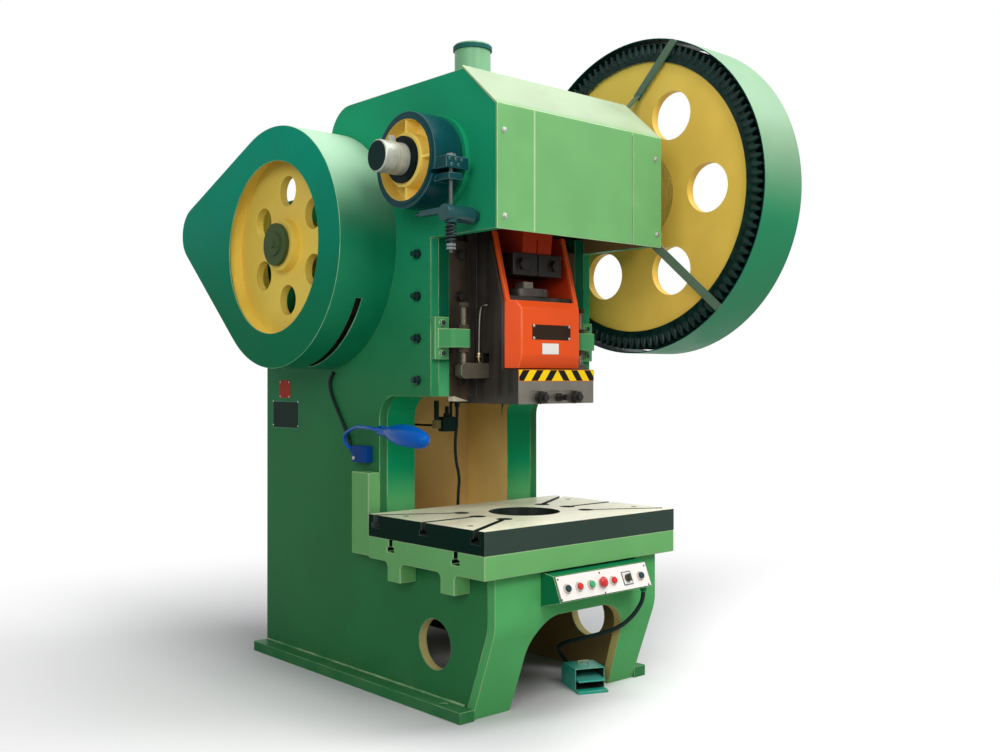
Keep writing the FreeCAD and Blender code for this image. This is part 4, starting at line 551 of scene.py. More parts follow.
# ---- breather pipe
# Short length of rolled pipe welded on the head, with a rolled rim, dark inside.
pipe_paint = enamel("pipe_enamel", (0.2, 0.42, 0.23), rough=0.32, gloss=0.3)
pipe_rim = enamel("pipe_rim_enamel", (0.018, 0.11, 0.1), rough=0.4)
dark_inside = enamel("pipe_dark_inside", (0.02, 0.03, 0.022), rough=0.8)
PIPE_Y, PIPE_R = 0.335, 0.081       # outside of the wall below the rolled rim


def inside_pipe(at, out):
    return at.x * out.x + (at.y - PIPE_Y) * out.y < -0.01


dressed("breather_pipe", pipe_paint, 0.0015, None,
        [(pipe_rim, lambda at, out: math.hypot(at.x, at.y - PIPE_Y) > PIPE_R or out.z > 0.9),
         (dark_inside, inside_pipe)])

# ---- crankshaft and its bearings
# A forging turned bright on its journals and ends, running in flanged bronze bushes that
# are painted over outside the frame. A ring nut and a collar hold what sits on it.
bronze = ground_steel("turned_bronze", (0.52, 0.36, 0.15), 0.34, 1)
dressed("crank_bearings", bronze, 0.0015, None,
        [(frame_paint, lambda at, out: abs(at.x) > PLATE_OUT + SLACK)])

turned = Finish("turned_shaft", Metallic=0.3)
rings = turned.noise(600.0, 2.0, (1.0, 0.02, 0.02))
turned.set("Base Color", turned.blend(
    turned.fade(rings * 0.6 + turned.noise(20.0) * 0.4, 0.3, 0.7),
    (0.3, 0.32, 0.27), (0.52, 0.54, 0.46)))
turned.set("Roughness", turned.fade(rings, 0.3, 0.7, 0.26, 0.42))
turned.bump(rings, 0.0002, 0.6)
shaft_end = enamel("shaft_end_paint", (0.004, 0.022, 0.02), rough=0.45, cast=0.4)
dressed("crankshaft", turned.material, 0.002, None,
        [(shaft_end, lambda at, out: out.x < -0.9 and at.x < -0.75)])
dressed("shaft_nuts", enamel("black_nut", (0.003, 0.01, 0.01), rough=0.3), 0.0015)

# ---- brake
# Ribbed cast drum keyed to the shaft, gripped by a lined steel band that a threaded rod
# and a spring pull tight round it. Drum yellow, band and linkage black-green.
CRANK_Z = 2.14
RIM_IN, LINING_R = 0.156, 0.172     # inside of the drum's rim, and past the lining's face
drum_paint = enamel("drum_enamel", (0.98, 0.72, 0.16), rough=0.38, cast=0.5)
band_paint = enamel("band_enamel", (0.003, 0.054, 0.062), rough=0.26, coat=0.02, gloss=0.08)
lining = enamel("brake_lining", (0.012, 0.022, 0.02), rough=0.7)


def off_crank(at):
    """How far a point lies from the axis of the crankshaft."""
    return math.hypot(at.y, at.z - CRANK_Z)


dressed("brake_drum", drum_paint, 0.0015, None,
        [(band_paint, lambda at, out: off_crank(at) > RIM_IN + SLACK)])
dressed("brake_band", band_paint, 0.0012,
        worn_and_lit_edge("band_edge_enamel", (0.02, 0.1, 0.11), (0.16, 0.24, 0.22)),
        [(lining, lambda at, out: off_crank(at) < LINING_R + SLACK)])
dressed("brake_anchor",
        enamel("anchor_enamel", (0.01, 0.07, 0.074), rough=0.28, cast=0.5, gloss=0.25), 0.0025)


def thread(name, colour, pitch):
    """Black steel rod whose thread shows as close rings along Z."""
    rod = Finish(name, Metallic=0.7, Roughness=0.38)
    wave = abs((rod.axis(2) % pitch) / pitch - 0.5) * 2.0
    rod.set("Base Color", rod.blend(wave, tone(colour, 0.5), tone(colour, 1.3)))
    rod.bump(wave, 0.0009, 0.8)
    return rod.material


BRAKE_ROD_X, BRAKE_ROD_Y, BRAKE_ROD_R = -0.585, -0.226, 0.008
nut_steel = ground_steel("nut_steel", (0.16, 0.19, 0.19), 0.34, 0, 0.3, 0.4)
dressed("brake_rod", thread("brake_rod_thread", (0.1, 0.12, 0.12), 0.003), 0.0008, None,
        [(nut_steel, lambda at, out: math.hypot(at.x - BRAKE_ROD_X, at.y - BRAKE_ROD_Y)
          > BRAKE_ROD_R + SLACK)])
spring = frame["nodes"]["brake_spring"].data
spring.materials.clear()
spring.materials.append(oily_iron("spring_wire", (0.01, 0.022, 0.026), 0.32))

# ---- connecting rod and ball screw
# Cast steel rod, red inside the head, with a blackened split clamp at its foot that locks
# the ball-ended adjusting screw. The ring nut holds the ball in the ram.
red_shade = enamel("rod_enamel", (0.5, 0.045, 0.014), rough=0.4, cast=0.5)
CLAMP_TOP = 1.818
clamp_black = oily_iron("clamp_iron", (0.012, 0.009, 0.007), 0.4)
dressed("connecting_rod", red_shade, 0.0025, None,
        [(clamp_black, lambda at, out: at.z < CLAMP_TOP + SLACK)])
dressed("ball_screw", ground_steel("screw_steel", (0.3, 0.28, 0.22), 0.45, 2, metal=0.5), 0.0015)
dressed("ball_seat_ring", oily_iron("ring_iron", (0.06, 0.05, 0.04), 0.4), 0.0015)

# ---- ram
# Iron casting machined on its foot and guide ways and black with oil; the front is enclosed
# by an orange housing with two arms. A block with studs clamps the tool's shank.
ORANGE = (0.8, 0.088, 0.014)
POCKET_X, POCKET_BACK, POCKET_FLOOR = 0.184, 0.176, 1.640
FOOT_Y, CLAMP_FACE_Y = -0.190, -0.198
ram_iron = oily_iron("ram_iron", (0.036, 0.03, 0.025), 0.36)
foot_steel = ground_steel("ram_foot_steel", (0.195, 0.18, 0.15), 0.4, 0, 0.5)
pocket_paint = enamel("ram_pocket_enamel", (0.56, 0.04, 0.01), rough=0.42, age=0.3)


def wall_of_pocket(at, out):
    """Sides, back and floor of the pocket round the rod."""
    return (at.z > POCKET_FLOOR - SLACK and abs(at.x) < POCKET_X + SLACK
            and at.y < POCKET_BACK + SLACK and out.z < 0.9)


dressed("ram_body", ram_iron, 0.002, None,
        [(foot_steel, lambda at, out: at.y < FOOT_Y and out.y < -0.5),
         (pocket_paint, wall_of_pocket)])
stud_iron = oily_iron("stud_iron", (0.014, 0.012, 0.01), 0.3)
dressed("shank_clamp", foot_steel, 0.0015, None,
        [(stud_iron, lambda at, out: at.y < CLAMP_FACE_Y - SLACK)])
housing_paint = enamel("ram_enamel", ORANGE, age=0.3, coat=0.04, gloss=0.12)
dressed("ram_front_housing", housing_paint, 0.004,
        worn_and_lit_edge("ram_edge_enamel", ORANGE, (0.86, 0.2, 0.07)))

# ---- plates on the ram
# A blackened name plate and a white sticker, both left bare, and the yellow and black
# warning strip across the foot of the housing. The name plate has a rivet in each corner.
HOUSING_Y = -0.162
plate_black = enamel("plate_black", (0.03, 0.018, 0.012), rough=0.4, age=0.3)
plate("ram_name_plate", (0.002, HOUSING_Y - 0.0012, 1.4905), (0.218, 0.0024, 0.06),
      (0, -1, 0), 0.0016, plate_black, "ram", lift=-0.0003, edge=0.0003)
for number, (x, z) in enumerate(((-0.099, 1.516), (0.104, 1.516),
                                 (-0.099, 1.466), (0.104, 1.466)), 1):
    kept_on(cap_screw(f"name_plate_rivet_{number}", (x, HOUSING_Y - 0.0020, z), (0, -1, 0),
                      0.0042, 0.0022, bare_steel, 12), "ram")
sticker_white = enamel("sticker_white", (0.84, 0.82, 0.78), rough=0.5)
sticker_rim = enamel("sticker_rim", (0.3, 0.27, 0.24), rough=0.5)
plate("ram_sticker", (-0.004, HOUSING_Y - 0.0004, 1.423), (0.096, 0.0008, 0.046),
      (0, -1, 0), 0.0011, sticker_rim, "ram", sticker_white, edge=0.0002)

STRIPE, STRIPE_LOW, STRIPE_HIGH = 0.077, 1.2905, 1.3375
warning = Finish("warning_strip", Roughness=0.42, Specular_IOR_Level=0.06)
lean = abs(warning.axis(0)) + (warning.axis(2) - STRIPE_LOW) * 0.75 - 0.035
share = (lean % STRIPE) / STRIPE
black = warning.fade(share, 0.0, 0.012) * warning.fade(share, 0.488, 0.5, 1.0, 0.0)
scuff = warning.fade(warning.noise(120.0, 4.0), 0.62, 0.74) * 0.25
warning.set("Base Color", warning.blend(scuff, warning.blend(
    black, (0.94, 0.62, 0.01), (0.01, 0.009, 0.008)), (0.25, 0.2, 0.12)))
warning.bump(warning.noise(260.0, 2.0), 0.0002, 0.4)
plate("ram_warning_strip", (0, -0.198, (STRIPE_LOW + STRIPE_HIGH) / 2),
      (0.431, 0.002, STRIPE_HIGH - STRIPE_LOW), (0, -1, 0), 0.0022,
      enamel("strip_border", (0.8, 0.22, 0.02), rough=0.4), "ram",
      warning.material, edge=0.0004)

# ---- gibs and their screws
# Scraped iron gibs bolted inside the jaws, adjusted by screws through the side plates.
# Their planed feet stand out bright under the jaws.
GIB_FOOT_Z, BOLT_Y, BOLT_X = 1.2288, 0.056, 0.34
gib_iron = oily_iron("gib_iron", (0.04, 0.027, 0.015), 0.38)
gib_foot = ground_steel("gib_foot_steel", (0.56, 0.49, 0.36), 0.42, 1)
dressed("gibs", gib_iron, 0.0015, None,
        [(gib_foot, lambda at, out: at.z < GIB_FOOT_Z)])
screw_black = oily_iron("screw_iron", (0.006, 0.026, 0.026), 0.3)
gib_bolt = oily_iron("gib_bolt_iron", (0.014, 0.011, 0.008), 0.34)
dressed("gib_screws", screw_black, 0.0012, None,
        [(gib_bolt, lambda at, out: at.y < BOLT_Y and abs(at.x) < BOLT_X)])

# ---- knock-out gear
# Brackets cast and painted like the bed hold the long stop screws; the flat bar lies in
# its slot through the ram.
bracket_paint = enamel("bracket_enamel", (0.07, 0.3, 0.115), cast=0.3)
bolt_black = oily_iron("bracket_bolt_iron", (0.006, 0.026, 0.028), 0.3)
BRACKET_BOLT_X, BRACKET_BOLT_Z, BRACKET_BOLT_R = 0.416, (1.402, 1.524), 0.016
BRACKET_FACE_Y = 0.0348             # just before the face of the foot
STOP_X, STOP_R = 0.335, 0.014


def bolt_of_bracket(at, out):
    """The heads that stand on the bracket's foot."""
    off = min(abs(at.z - z) for z in BRACKET_BOLT_Z)
    return (at.y < BRACKET_FACE_Y and off < BRACKET_BOLT_R
            and abs(abs(at.x) - BRACKET_BOLT_X) < BRACKET_BOLT_R)


dressed("knockout_brackets", bracket_paint, 0.0025,
        worn_and_lit_edge("bracket_edge_enamel", PALE_GREEN), [(bolt_black, bolt_of_bracket)])
dressed("stop_screws", thread("stop_screw_thread", (0.14, 0.12, 0.09), 0.0035), 0.0012, None,
        [(gib_iron, lambda at, out: math.hypot(abs(at.x) - STOP_X, at.y) > STOP_R + SLACK)])
dressed("knockout_bar", oily_iron("bar_iron", (0.06, 0.052, 0.036), 0.4), 0.0015,
        ground_steel("bar_edge", (0.2, 0.18, 0.13), 0.38, 1))

# ---- oil pipe of the ram
# Thin steel pipe up the left side of the ram, bent into the casting at its top, with a brass
# union at its foot.


def bent_line(name, points, radius, around):
    """A smooth line with a round section through its route, in metres."""
    curve = bpy.data.curves.new(name + "_line", "CURVE")
    curve.dimensions = "3D"
    spline = curve.splines.new("NURBS")
    spline.points.add(len(points) - 1)
    for spot, point in zip(spline.points, points):
        spot.co = (*point, 1)
    spline.order_u = 3
    spline.use_endpoint_u = True
    curve.bevel_depth, curve.bevel_resolution = radius, around
    curve.use_fill_caps = True
    return shared(name, curve)


def pipe(name, points, radius, finish, body):
    """A bent metal pipe: its line made a mesh."""
    only(bent_line(name, points, radius, 4))
    bpy.ops.object.convert(target="MESH")
    made = bpy.context.active_object
    bpy.ops.object.shade_smooth_by_angle(angle=ROUNDED)
    made.data.materials.append(finish)
    kept_on(made, body)


pipe_steel = ground_steel("pipe_steel", (0.24, 0.22, 0.18), 0.3, 2, 0.2)
brass = ground_steel("union_brass", (0.62, 0.48, 0.26), 0.3, 2, 0.2)
OIL_X, OIL_Y = -0.224, 0.034
pipe("ram_oil_pipe", [(-0.2165, -0.012, 1.601), (-0.223, -0.002, 1.601), (OIL_X, 0.016, 1.598),
                      (OIL_X, 0.027, 1.572), (OIL_X, 0.032, 1.500), (OIL_X, OIL_Y, 1.404)],
     0.0055, pipe_steel, "ram")
kept_on(cap_screw("ram_oil_union", (OIL_X, OIL_Y, 1.388), (0, 0, 1), 0.0078, 0.018, brass, 6),
        "ram")
pipe("ram_oil_tail", [(OIL_X, OIL_Y, 1.390), (OIL_X, OIL_Y, 1.378), (-0.222, OIL_Y, 1.368),
                      (-0.2165, OIL_Y, 1.366)], 0.004, brass, "ram")

# ---- big gear and pinion
# Cast wheel, yellow on its web and hub; its rim and the cut teeth are dark green with
# grease, with painted highlights streaked along the ribs of the teeth on the rim. The pinion is
# cut solid on the hidden shaft.
GEAR_TEETH = 115
SHAFT_GAP, SHAFT_DROP = 0.852, 0.258     # pinion shaft from crankshaft, and below it
SHAFT_Y, SHAFT_Z = math.sqrt(SHAFT_GAP ** 2 - SHAFT_DROP ** 2), CRANK_Z - SHAFT_DROP
TOOTH_TURN = math.atan2(-SHAFT_DROP, SHAFT_Y) + math.pi / GEAR_TEETH
wheel = Finish("gear_enamel", Specular_IOR_Level=0.12)
across, up = wheel.axis(1), wheel.axis(2) - CRANK_Z
reach = across * across + up * up     # square of the radius
turned_by = wheel.add("ShaderNodeMath", {"operation": "ARCTAN2"}, {0: up, 1: across})
tooth = (turned_by - TOOTH_TURN) * (GEAR_TEETH / (2 * math.pi)) % 1.0
rib = abs(tooth - 0.5) * 2.0
on_rib = wheel.fade(reach, 0.640 ** 2, 0.662 ** 2)
greasy = wheel.fade(reach, 0.6192 ** 2, 0.6206 ** 2)
drift = wheel.fade(wheel.noise(2.0), 0.35, 0.65)
yellow = wheel.blend(drift, (0.87, 0.57, 0.095), (0.99, 0.665, 0.125))
yellow = wheel.blend(wheel.fade(wheel.noise(140.0, 4.0), 0.66, 0.8) * 0.2, yellow,
                     (0.2, 0.14, 0.05))
grease_and_rib_sheen = wheel.blend(wheel.fade(wheel.noise(26.0, 4.0), 0.35, 0.7),
                     (0.003, 0.014, 0.012), (0.008, 0.034, 0.028))
# painted highlight: a paler streak along one flank of each tooth rib on the rim face
grease_and_rib_sheen = wheel.blend(on_rib * wheel.fade(rib, 0.55, 0.95) * 0.6, grease_and_rib_sheen,
                     (0.024, 0.06, 0.052))
wheel.set("Base Color", wheel.blend(greasy, yellow, grease_and_rib_sheen))
wheel.set("Roughness", wheel.fade(greasy, 0.0, 1.0, 0.42, 0.24))
wheel.bump(on_rib * wheel.fade(rib, 0.15, 0.85) + wheel.noise(95.0, 5.0) * 0.06,
           0.008, 0.9)
dressed("big_gear", wheel.material, 0.0)
tooth_steel = oily_iron("tooth_steel", (0.03, 0.045, 0.034), 0.3)
dressed("pinion_bearings", bronze, 0.0015, None,
        [(frame_paint, lambda at, out: abs(at.x) > PLATE_OUT + SLACK)])
dressed("pinion_shaft", tooth_steel, 0.0)

# ---- gear guard
# Rolled sheet band round gear and pinion on welded flat straps, dark inside.
# painted highlight: the band is painted paler up towards its top, as the sheen of light on it
guard_paint = enamel("guard_enamel", (0.008, 0.24, 0.098), rough=0.42, gloss=0.16,
                     painted_light_above=(0.2, 0.365, 0.215), span=(1.94, 2.34))
guard_inside = enamel("guard_inside_enamel", (0.003, 0.034, 0.03), rough=0.4)
strap_paint = enamel("strap_enamel", (0.085, 0.15, 0.09), rough=0.36, gloss=0.4)
band_lip = worn_and_lit_edge("guard_lip_enamel", (0.004, 0.06, 0.05), (0.01, 0.11, 0.09))
GUARD_IN = 0.694


def inside_gear_band(at, out):
    inward = at.y * out.y + (at.z - CRANK_Z) * out.z < -0.02
    return at.x > GUARD_IN - SLACK and (inward or out.x < -0.9)


dressed("gear_guard", guard_paint, 0.0012, band_lip,
        [(strap_paint, lambda at, out: at.x < GUARD_IN - SLACK),
         (guard_inside, inside_gear_band)])

# ---- flywheel and belt drive
# Yellow cast flywheel grooved for four V-belts, with a green hub cap; the belts run back to
# a small pulley on the motor.
wheel_paint = enamel("flywheel_enamel", (0.98, 0.7, 0.12), rough=0.4, cast=0.3, coat=0.05)
groove_iron = oily_iron("groove_iron", (0.12, 0.11, 0.09), 0.3)
GROOVE_R = 0.452
dressed("flywheel", wheel_paint, 0.002, None,
        [(groove_iron, lambda at, out: math.hypot(at.y - SHAFT_Y, at.z - SHAFT_Z) > GROOVE_R)])
dressed("hub_cap", enamel("hub_cap_enamel", (0.06, 0.1, 0.034), rough=0.36, cast=0.4), 0.0015)
rubber = Finish("belt_rubber", Roughness=0.7)
rubber.set("Base Color", rubber.blend(rubber.noise(60.0, 4.0), (0.01, 0.01, 0.01),
                                      (0.035, 0.034, 0.032)))
rubber.bump(rubber.noise(500.0, 2.0), 0.0003, 0.5)
dressed("v_belts", rubber.material, 0.0)
dressed("motor_pulley", groove_iron, 0.0)

# ---- flywheel guard
# Welded sheet case over flywheel, belts and pulley: a flat face with a round opening, and a
# band with one slot. Ground along its welded corner, where its paler edge is partly wear and
# partly a painted highlight. The face is painted lighter towards the top and the band paler
# towards its top, as painted light.
# painted light and shade: the face is painted lighter towards the top and darker low down
guard_teal = enamel("wheel_guard_enamel", (0.001, 0.165, 0.066), rough=0.38,
                    painted_light_above=(0.001, 0.33, 0.205), gloss=0.03, span=(1.35, 2.4))
# painted highlight: the band is painted pale towards its top, as the sheen of light on it
guard_band = enamel("wheel_guard_band_enamel", (0.002, 0.2, 0.085), rough=0.42,
                    painted_light_above=(0.4, 0.64, 0.44), gloss=0.25, span=(1.84, 2.34))
guard_corner = worn_and_lit_edge("guard_corner_enamel", (0.1, 0.34, 0.18), (0.42, 0.56, 0.38))


CASE_FACE_X, CASE_Y, CASE_Z = -0.730, 0.95, 1.9


def inside_wheel_guard(at, out):
    """The inner side of the face sheet and of the band."""
    if abs(out.x) > 0.9:
        return out.x > 0 and at.x < -0.7
    reach = (at.y - CASE_Y) * out.y + (at.z - CASE_Z) * out.z
    return reach < -0.05 and at.x > CASE_FACE_X + SLACK


dressed("flywheel_guard", guard_teal, 0.0018, guard_corner,
        [(guard_band, lambda at, out: abs(out.x) < 0.5),
         (guard_inside, inside_wheel_guard)])

# ---- motor on its shelf
# Ribbed squirrel-cage motor bolted on a shelf behind the frame, with a slotted fan cover.
dressed("motor", enamel("motor_enamel", (0.01, 0.16, 0.085), rough=0.42, cast=0.5), 0.0012)
dressed("motor_base", frame_paint, 0.002, frame_edge)

# ---- control box and panel
# Folded steel box under the bed with a white slanted front; six buttons with bright
# collars and a selector on its own square plate.
box_paint = enamel("box_enamel", (0.006, 0.17, 0.062))
dressed("control_box", box_paint, 0.0012, worn_and_lit_edge("box_edge_enamel", (0.36, 0.55, 0.32)))
panel_paint = enamel("panel_enamel", (0.86, 0.82, 0.78), rough=0.36, coat=0.05)
collar_steel = ground_steel("collar_steel", (0.86, 0.86, 0.82), 0.22, 0, 0.2, 0.3)
PANEL_UP, PANEL_OUT = Vector((0, 0.38462, 0.92308)), Vector((0, -0.92308, 0.38462))
PANEL_POINT, PANEL_SHEET = Vector((0, -0.41925, 0.495)), 0.004


def collar_of_button(at, out):
    """What stands over the panel's outer face."""
    return (Vector((0, at.y, at.z)) - PANEL_POINT).dot(PANEL_OUT) - PANEL_SHEET > 0.0006


dressed("control_panel", panel_paint, 0.0012, enamel("panel_edge_enamel", (0.36, 0.16, 0.1)),
        [(collar_steel, collar_of_button)])


def plastic(name, colour, rough=0.25):
    """Moulded plastic: even colour with faint flow marks, finger grease and a soft gloss."""
    moulded = Finish(name, Coat_Weight=0.2, Coat_Roughness=0.1, Specular_IOR_Level=0.2)
    flow = moulded.noise(60.0)
    moulded.set("Base Color", moulded.blend(moulded.fade(flow, 0.3, 0.7),
                                            tone(colour, 0.85), tone(colour, 1.1)))
    moulded.set("Roughness", moulded.fade(moulded.noise(220.0), 0.3, 0.7,
                                          rough - 0.06, rough + 0.12))
    moulded.bump(moulded.noise(900.0, 1.0), 0.0001, 0.4)
    return moulded.material


black_cap = plastic("black_cap", (0.006, 0.04, 0.044))
red_cap = plastic("red_cap", (0.62, 0.022, 0.02))
green_cap = plastic("green_cap", (0.05, 0.36, 0.12))
for button, cap in (("start_button_left", black_cap), ("stop_button", red_cap),
                    ("jog_button", green_cap), ("top_stop_button", red_cap),
                    ("start_button_right", black_cap), ("emergency_button", red_cap),
                    ("selector_knob", plastic("selector_grey", (0.045, 0.055, 0.035)))):
    dressed(button, cap, 0.0005)


def laid_on_panel(piece, x, up):
    """Turns a piece made flat on the floor on to the panel's outer face, x to the right
    and up its slope from the row of buttons."""
    turn = Vector((0, 0, 1)).rotation_difference(PANEL_OUT)
    spot = PANEL_POINT + Vector((x, 0, 0)) + PANEL_UP * up + PANEL_OUT * PANEL_SHEET
    for vertex in piece.data.vertices:
        vertex.co = turn @ vertex.co + spot


selector_plate = plate("selector_plate", (0, 0, 0.0012), (0.054, 0.054, 0.0024), (0, 0, 1),
                       0.0028, enamel("selector_frame", (0.012, 0.05, 0.05), rough=0.35),
                       "frame",
                       enamel("selector_field", (0.74, 0.74, 0.72), rough=0.4),
                       lift=-0.0003, edge=0.0003)
laid_on_panel(selector_plate, 0.172, 0)
for number, (x, up) in enumerate(((-0.207, 0.041), (0.291, 0.038), (-0.213, -0.038),
                                  (0.288, -0.040), (0.024, 0.040), (0.027, -0.041)), 1):
    screw = cap_screw(f"panel_screw_{number}", (0, 0, 0), (0, 0, 1), 0.003, 0.0016,
                      dark_steel, 12)
    laid_on_panel(screw, x, up)
    kept_on(screw, "frame")

# ---- lead to the foot switch
# Rubber-sheathed lead that leaves the box through a gland, hangs in the arch and goes back
# into the switch on the floor.
sheath = Finish("cable_sheath", Roughness=0.5, Specular_IOR_Level=0.12)
sheath.set("Base Color", sheath.blend(sheath.noise(40.0, 4.0), (0.004, 0.012, 0.01),
                                      (0.014, 0.03, 0.025)))
sheath.bump(sheath.noise(350.0, 2.0), 0.0003, 0.5)


def lead(name, points, radius, node):
    """A rubber lead along its line, which hangs from the first point."""
    made = bent_line(name, points, radius, 5)
    made.data.splines[0].resolution_u = 8
    made.data.materials.append(sheath.material)
    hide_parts(node)
    kept_on(made, "frame")


SWITCH_PLACE, SWITCH_TURN = (0.190, -0.169), math.radians(-24)


def switch_spot(y, z):
    """A point on the middle line of the foot switch."""
    return (SWITCH_PLACE[0] - y * math.sin(SWITCH_TURN),
            SWITCH_PLACE[1] + y * math.cos(SWITCH_TURN), z)


lead("foot_switch_lead",
     [(0.294, -0.404, 0.428), (0.300, -0.398, 0.398), (0.302, -0.380, 0.362),
      (0.286, -0.350, 0.312), (0.250, -0.312, 0.268), (0.214, -0.236, 0.232),
      (0.172, -0.152, 0.204), (0.150, -0.086, 0.178), (0.166, -0.032, 0.150),
      (0.206, 0.000, 0.118), (0.248, 0.012, 0.078), switch_spot(0.172, 0.045),
      switch_spot(0.114, 0.045)], 0.009, "control_cable")

# ---- foot switch
# Cast guard over a hinged pedal, teal gloss outside and dark inside, on a base plate.
HOOD_X, HOOD_Y, HOOD_Z = 0.062, (-0.061, 0.096), (0.012, 0.092)  # room under the hood
LOOP_Z = 0.0968
teal_paint = enamel("switch_enamel", (0.006, 0.36, 0.26), rough=0.25, cast=0.3, coat=0.3)
switch_dark = enamel("switch_inside", (0.008, 0.02, 0.018), rough=0.5)
loop_paint = enamel("switch_loop_enamel", (0.5, 0.42, 0.22), rough=0.4)


def in_switch(point):
    """A point in the foot switch's own directions, x across and y along it."""
    dx, dy = point.x - SWITCH_PLACE[0], point.y - SWITCH_PLACE[1]
    c, s = math.cos(SWITCH_TURN), math.sin(SWITCH_TURN)
    return dx * c + dy * s, -dx * s + dy * c


def inside_switch(at, out):
    x, y = in_switch(at)
    return (abs(x) < HOOD_X + SLACK and HOOD_Y[0] - SLACK < y < HOOD_Y[1] + SLACK
            and HOOD_Z[0] - SLACK < at.z < HOOD_Z[1] + SLACK)


dressed("foot_switch_hood", teal_paint, 0.0015,
        worn_and_lit_edge("switch_edge_enamel", (0.05, 0.26, 0.22)),
        [(switch_dark, inside_switch), (loop_paint, lambda at, out: at.z > LOOP_Z)])
dressed("foot_pedal", enamel("pedal_enamel", (0.04, 0.34, 0.27), rough=0.2, coat=0.5), 0.0012)

# ---- work lamp
# Spun shade in blue gloss enamel on a bendable steel neck; the foot is screwed to the left
# side plate and the lead runs down to it from the frame.
lamp_paint = enamel("lamp_enamel", (0.001, 0.095, 0.42), rough=0.2, age=0.2, gloss=0.08)
lamp_inside = enamel("lamp_inside_enamel", (0.62, 0.64, 0.66), rough=0.35, coat=0.2)
foot_blue = enamel("lamp_foot_enamel", (0.004, 0.05, 0.23), rough=0.35, cast=0.6)
NECK, TIP = Vector((-0.575, 0.239, 1.093)), Vector((-0.617, -0.123, 1.066))
SHADE_AIM = (TIP - NECK).normalized()
FOOT_FACE_X, FOOT_TOP, CLIP_X = -0.498, 1.015, -0.4663
BULB_R, BULB_LONG = 0.022, 1.9


def lining_of_shade(at, out):
    reach = at - NECK
    along = reach.dot(SHADE_AIM)
    return along > 0.067 and out.dot(reach - SHADE_AIM * along) < -0.002


dressed("lamp_shade", lamp_paint, 0.0, None, [(lamp_inside, lining_of_shade)])
dressed("lamp_arm", lamp_paint, 0.0012, None,
        [(foot_blue, lambda at, out: at.x > FOOT_FACE_X - SLACK and at.y < 0.567
          and at.z < FOOT_TOP + SLACK)])
lead("lamp_lead", [(CLIP_X, 0.738, 1.326), (CLIP_X, 0.772, 1.300), (CLIP_X, 0.762, 1.240),
                   (CLIP_X, 0.712, 1.170), (CLIP_X, 0.660, 1.100), (CLIP_X, 0.612, 1.034),
                   (CLIP_X, 0.592, 0.974), (CLIP_X, 0.5523, 0.974)], 0.008,
     "lamp_conduit")

bpy.ops.mesh.primitive_uv_sphere_add(segments=28, ring_count=16, radius=BULB_R)
bulb = named("lamp_bulb")
for vertex in bulb.data.vertices:
    if vertex.co.z < 0:
        vertex.co.z *= BULB_LONG
        pull = 1 - 0.5 * min(1.0, -vertex.co.z / (BULB_R * BULB_LONG)) ** 0.8
        vertex.co.x *= pull
        vertex.co.y *= pull
turn = Vector((0, 0, 1)).rotation_difference(SHADE_AIM)
for vertex in bulb.data.vertices:
    vertex.co = turn @ vertex.co + NECK + SHADE_AIM * 0.118
glass = Finish("bulb_glass", Roughness=0.25, Coat_Weight=0.4)
glass.set("Base Color", glass.blend(glass.noise(60.0), (0.78, 0.8, 0.8), (0.9, 0.9, 0.86)))
bulb.data.materials.append(glass.material)
bpy.ops.object.shade_smooth()
kept_on(bulb, "frame")
kept_on(cap_screw("lamp_foot_screw", (FOOT_FACE_X, 0.535, 0.962), (-1, 0, 0), 0.006, 0.004,
                  bare_steel, 16, recess=True), "frame")

# ---- hand oiler in the throat
# Cast pump body on a shelf from the back sheet, with a black oil line to the bed.
pump_paint = enamel("pump_enamel", (0.004, 0.022, 0.016), rough=0.35, cast=0.6)
pump_brass = enamel("pump_block_enamel", (0.2, 0.17, 0.07), rough=0.4)
INLET_X, INLET_TOP = -0.121, 1.118       # the square block under the inlet pipe
dressed("oil_pump", pump_paint, 0.0015, None,
        [(pump_brass, lambda at, out: at.x < INLET_X - SLACK and at.z < INLET_TOP + SLACK)])
lead("pump_oil_line", [(-0.018, 0.421, 1.174), (-0.018, 0.421, 1.106), (-0.030, 0.421, 1.019),
                       (-0.026, 0.421, 0.934), (-0.002, 0.421, 0.854), (-0.014, 0.421, 0.774),
                       (-0.014, 0.421, 0.652)], 0.007, "pump_lead")

# ---- label plates
# A red plate and a black one with a green border, riveted to the left side plate, bare.
red_field = enamel("red_label", (0.46, 0.05, 0.034), rough=0.45, age=0.8)
black_field = enamel("black_label", (0.008, 0.022, 0.016), rough=0.4, age=0.6)
green_rim = enamel("label_rim_green", (0.06, 0.22, 0.12), rough=0.4)
LABEL_X, RIVET_X = -0.4588, -0.4596
plate("red_label_plate", (LABEL_X, 1.161, 1.251), (0.0016, 0.095, 0.082), (-1, 0, 0), 0.003,
      red_field, "frame", lift=-0.0003)
plate("black_label_plate", (LABEL_X, 1.1555, 1.131), (0.0016, 0.235, 0.132), (-1, 0, 0), 0.006,
      green_rim, "frame", black_field, lift=-0.0003)
screws("label_rivet", [(RIVET_X, y, z) for y, z in (
    (1.266, 1.193), (1.045, 1.193), (1.266, 1.080), (1.045, 1.080),
    (1.202, 1.284), (1.124, 1.284), (1.202, 1.216), (1.124, 1.216))],
       (-1, 0, 0), 0.0030, 0.0015, 12)

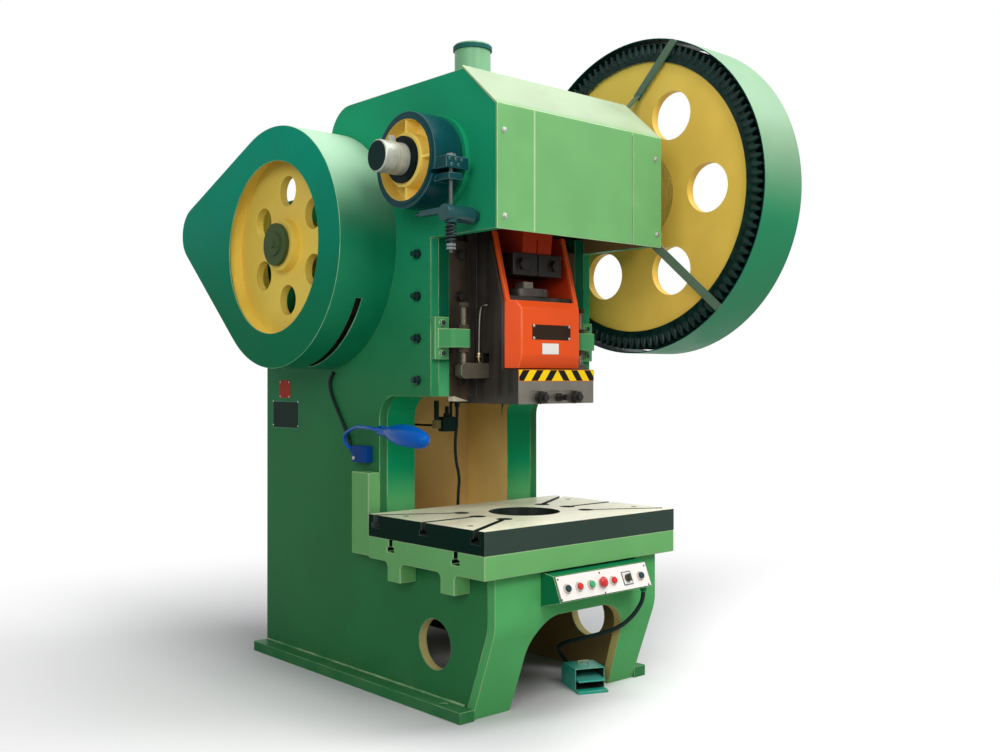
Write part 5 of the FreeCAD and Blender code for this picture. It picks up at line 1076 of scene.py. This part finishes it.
# ---- studio
# Pale floor with a painted shadow, greyer where the press would shade it on the left and in
# front, that fades to white away from it; a white surround; broad lamps in front, high on the
# right and on the left.
bpy.ops.mesh.primitive_plane_add(size=160)
floor = named("studio_floor")
ground = Finish("studio_ground", Roughness=0.9, Specular_IOR_Level=0.0)
light_path = ground.nodes.new("ShaderNodeLightPath")
seen = ground.add("ShaderNodeMath", {"operation": "MAXIMUM"},
                  {0: Value(ground, light_path.outputs["Is Camera Ray"]),
                   1: Value(ground, light_path.outputs["Is Glossy Ray"])})
east, north = ground.axis(0), ground.axis(1)
# painted shadow: the floor's colour is greyed where the press would shade it
painted_shadow_pool = ground.fade(east, -1.15, -0.35) * ground.fade(north - east * 0.5, -0.9, 0.1)
ground.set("Base Color", ground.blend(seen, (0.45, 0.45, 0.44),
                                      ground.blend(painted_shadow_pool, (0.97, 0.97, 0.97), (0.52, 0.52, 0.53))))
away = ground.add("ShaderNodeVectorMath", {"operation": "LENGTH"}, {0: ground.place}, output=1)
glow = ground.nodes.new("ShaderNodeEmission")
glow.inputs["Strength"].default_value = 1.0
mixed = ground.nodes.new("ShaderNodeMixShader")
ground.join(ground.fade(away, 0.8, 4.2) * seen, mixed.inputs[0])
ground.links.new(ground.shader.outputs[0], mixed.inputs[1])
ground.links.new(glow.outputs[0], mixed.inputs[2])
ground.links.new(mixed.outputs[0], ground.nodes["Material Output"].inputs[0])
floor.data.materials.append(ground.material)

world = bpy.data.worlds.new("studio_surround")
bpy.context.scene.world = world
world.use_nodes = True
air = world.node_tree
soft = air.nodes["Background"]
soft.inputs[0].default_value = (0.95, 0.97, 1.0, 1)
soft.inputs[1].default_value = 0.30
white = air.nodes.new("ShaderNodeBackground")
white.inputs[0].default_value = (1, 1, 1, 1)
white.inputs[1].default_value = 1.0
path = air.nodes.new("ShaderNodeLightPath")
seen_by = path.outputs["Is Camera Ray"]
for ray in ("Is Transmission Ray", "Is Glossy Ray"):
    either = air.nodes.new("ShaderNodeMath")
    either.operation = "MAXIMUM"
    air.links.new(seen_by, either.inputs[0])
    air.links.new(path.outputs[ray], either.inputs[1])
    seen_by = either.outputs[0]
both = air.nodes.new("ShaderNodeMixShader")
air.links.new(seen_by, both.inputs[0])
air.links.new(soft.outputs[0], both.inputs[1])
air.links.new(white.outputs[0], both.inputs[2])
air.links.new(both.outputs[0], air.nodes["World Output"].inputs[0])


def soft_box(name, place, aim, width, height, power, colour=(1, 1, 1)):
    lamp = bpy.data.lights.new(name, "AREA")
    lamp.shape, lamp.size, lamp.size_y = "RECTANGLE", width, height
    lamp.energy, lamp.color = power, colour
    box = shared(name, lamp)
    box.location = place
    box.rotation_euler = (Vector(aim) - Vector(place)).to_track_quat("-Z", "Y").to_euler()


soft_box("front_box", (-0.6, -5.4, 5.8), (0, 0, 1.3), 3.0, 2.5, 250, (1.0, 0.98, 0.94))
soft_box("left_box", (-5.6, -3.6, 3.4), (0, 0.1, 1.4), 3.0, 3.0, 160, (0.98, 0.99, 1.0))
soft_box("sky_box", (2.8, -1.6, 7.2), (0.3, -0.2, 1.6), 3.0, 7.0, 420)

camera_data = bpy.data.cameras.new("photo_camera")
SENSOR, FOCAL_PIXELS, PICTURE_WIDTH = 36.0, 1101.15, 1000
camera_data.sensor_width = SENSOR
camera_data.lens = FOCAL_PIXELS / PICTURE_WIDTH * SENSOR
camera_data.clip_end = 200
camera = shared("photo_camera", camera_data)
camera.location = (-3.1784, -3.3863, 1.3028)
camera.rotation_euler = (math.pi / 2 + 0.002, 0, math.radians(-41.927))
bpy.context.scene.camera = camera
bpy.context.scene.view_settings.view_transform = "Standard"
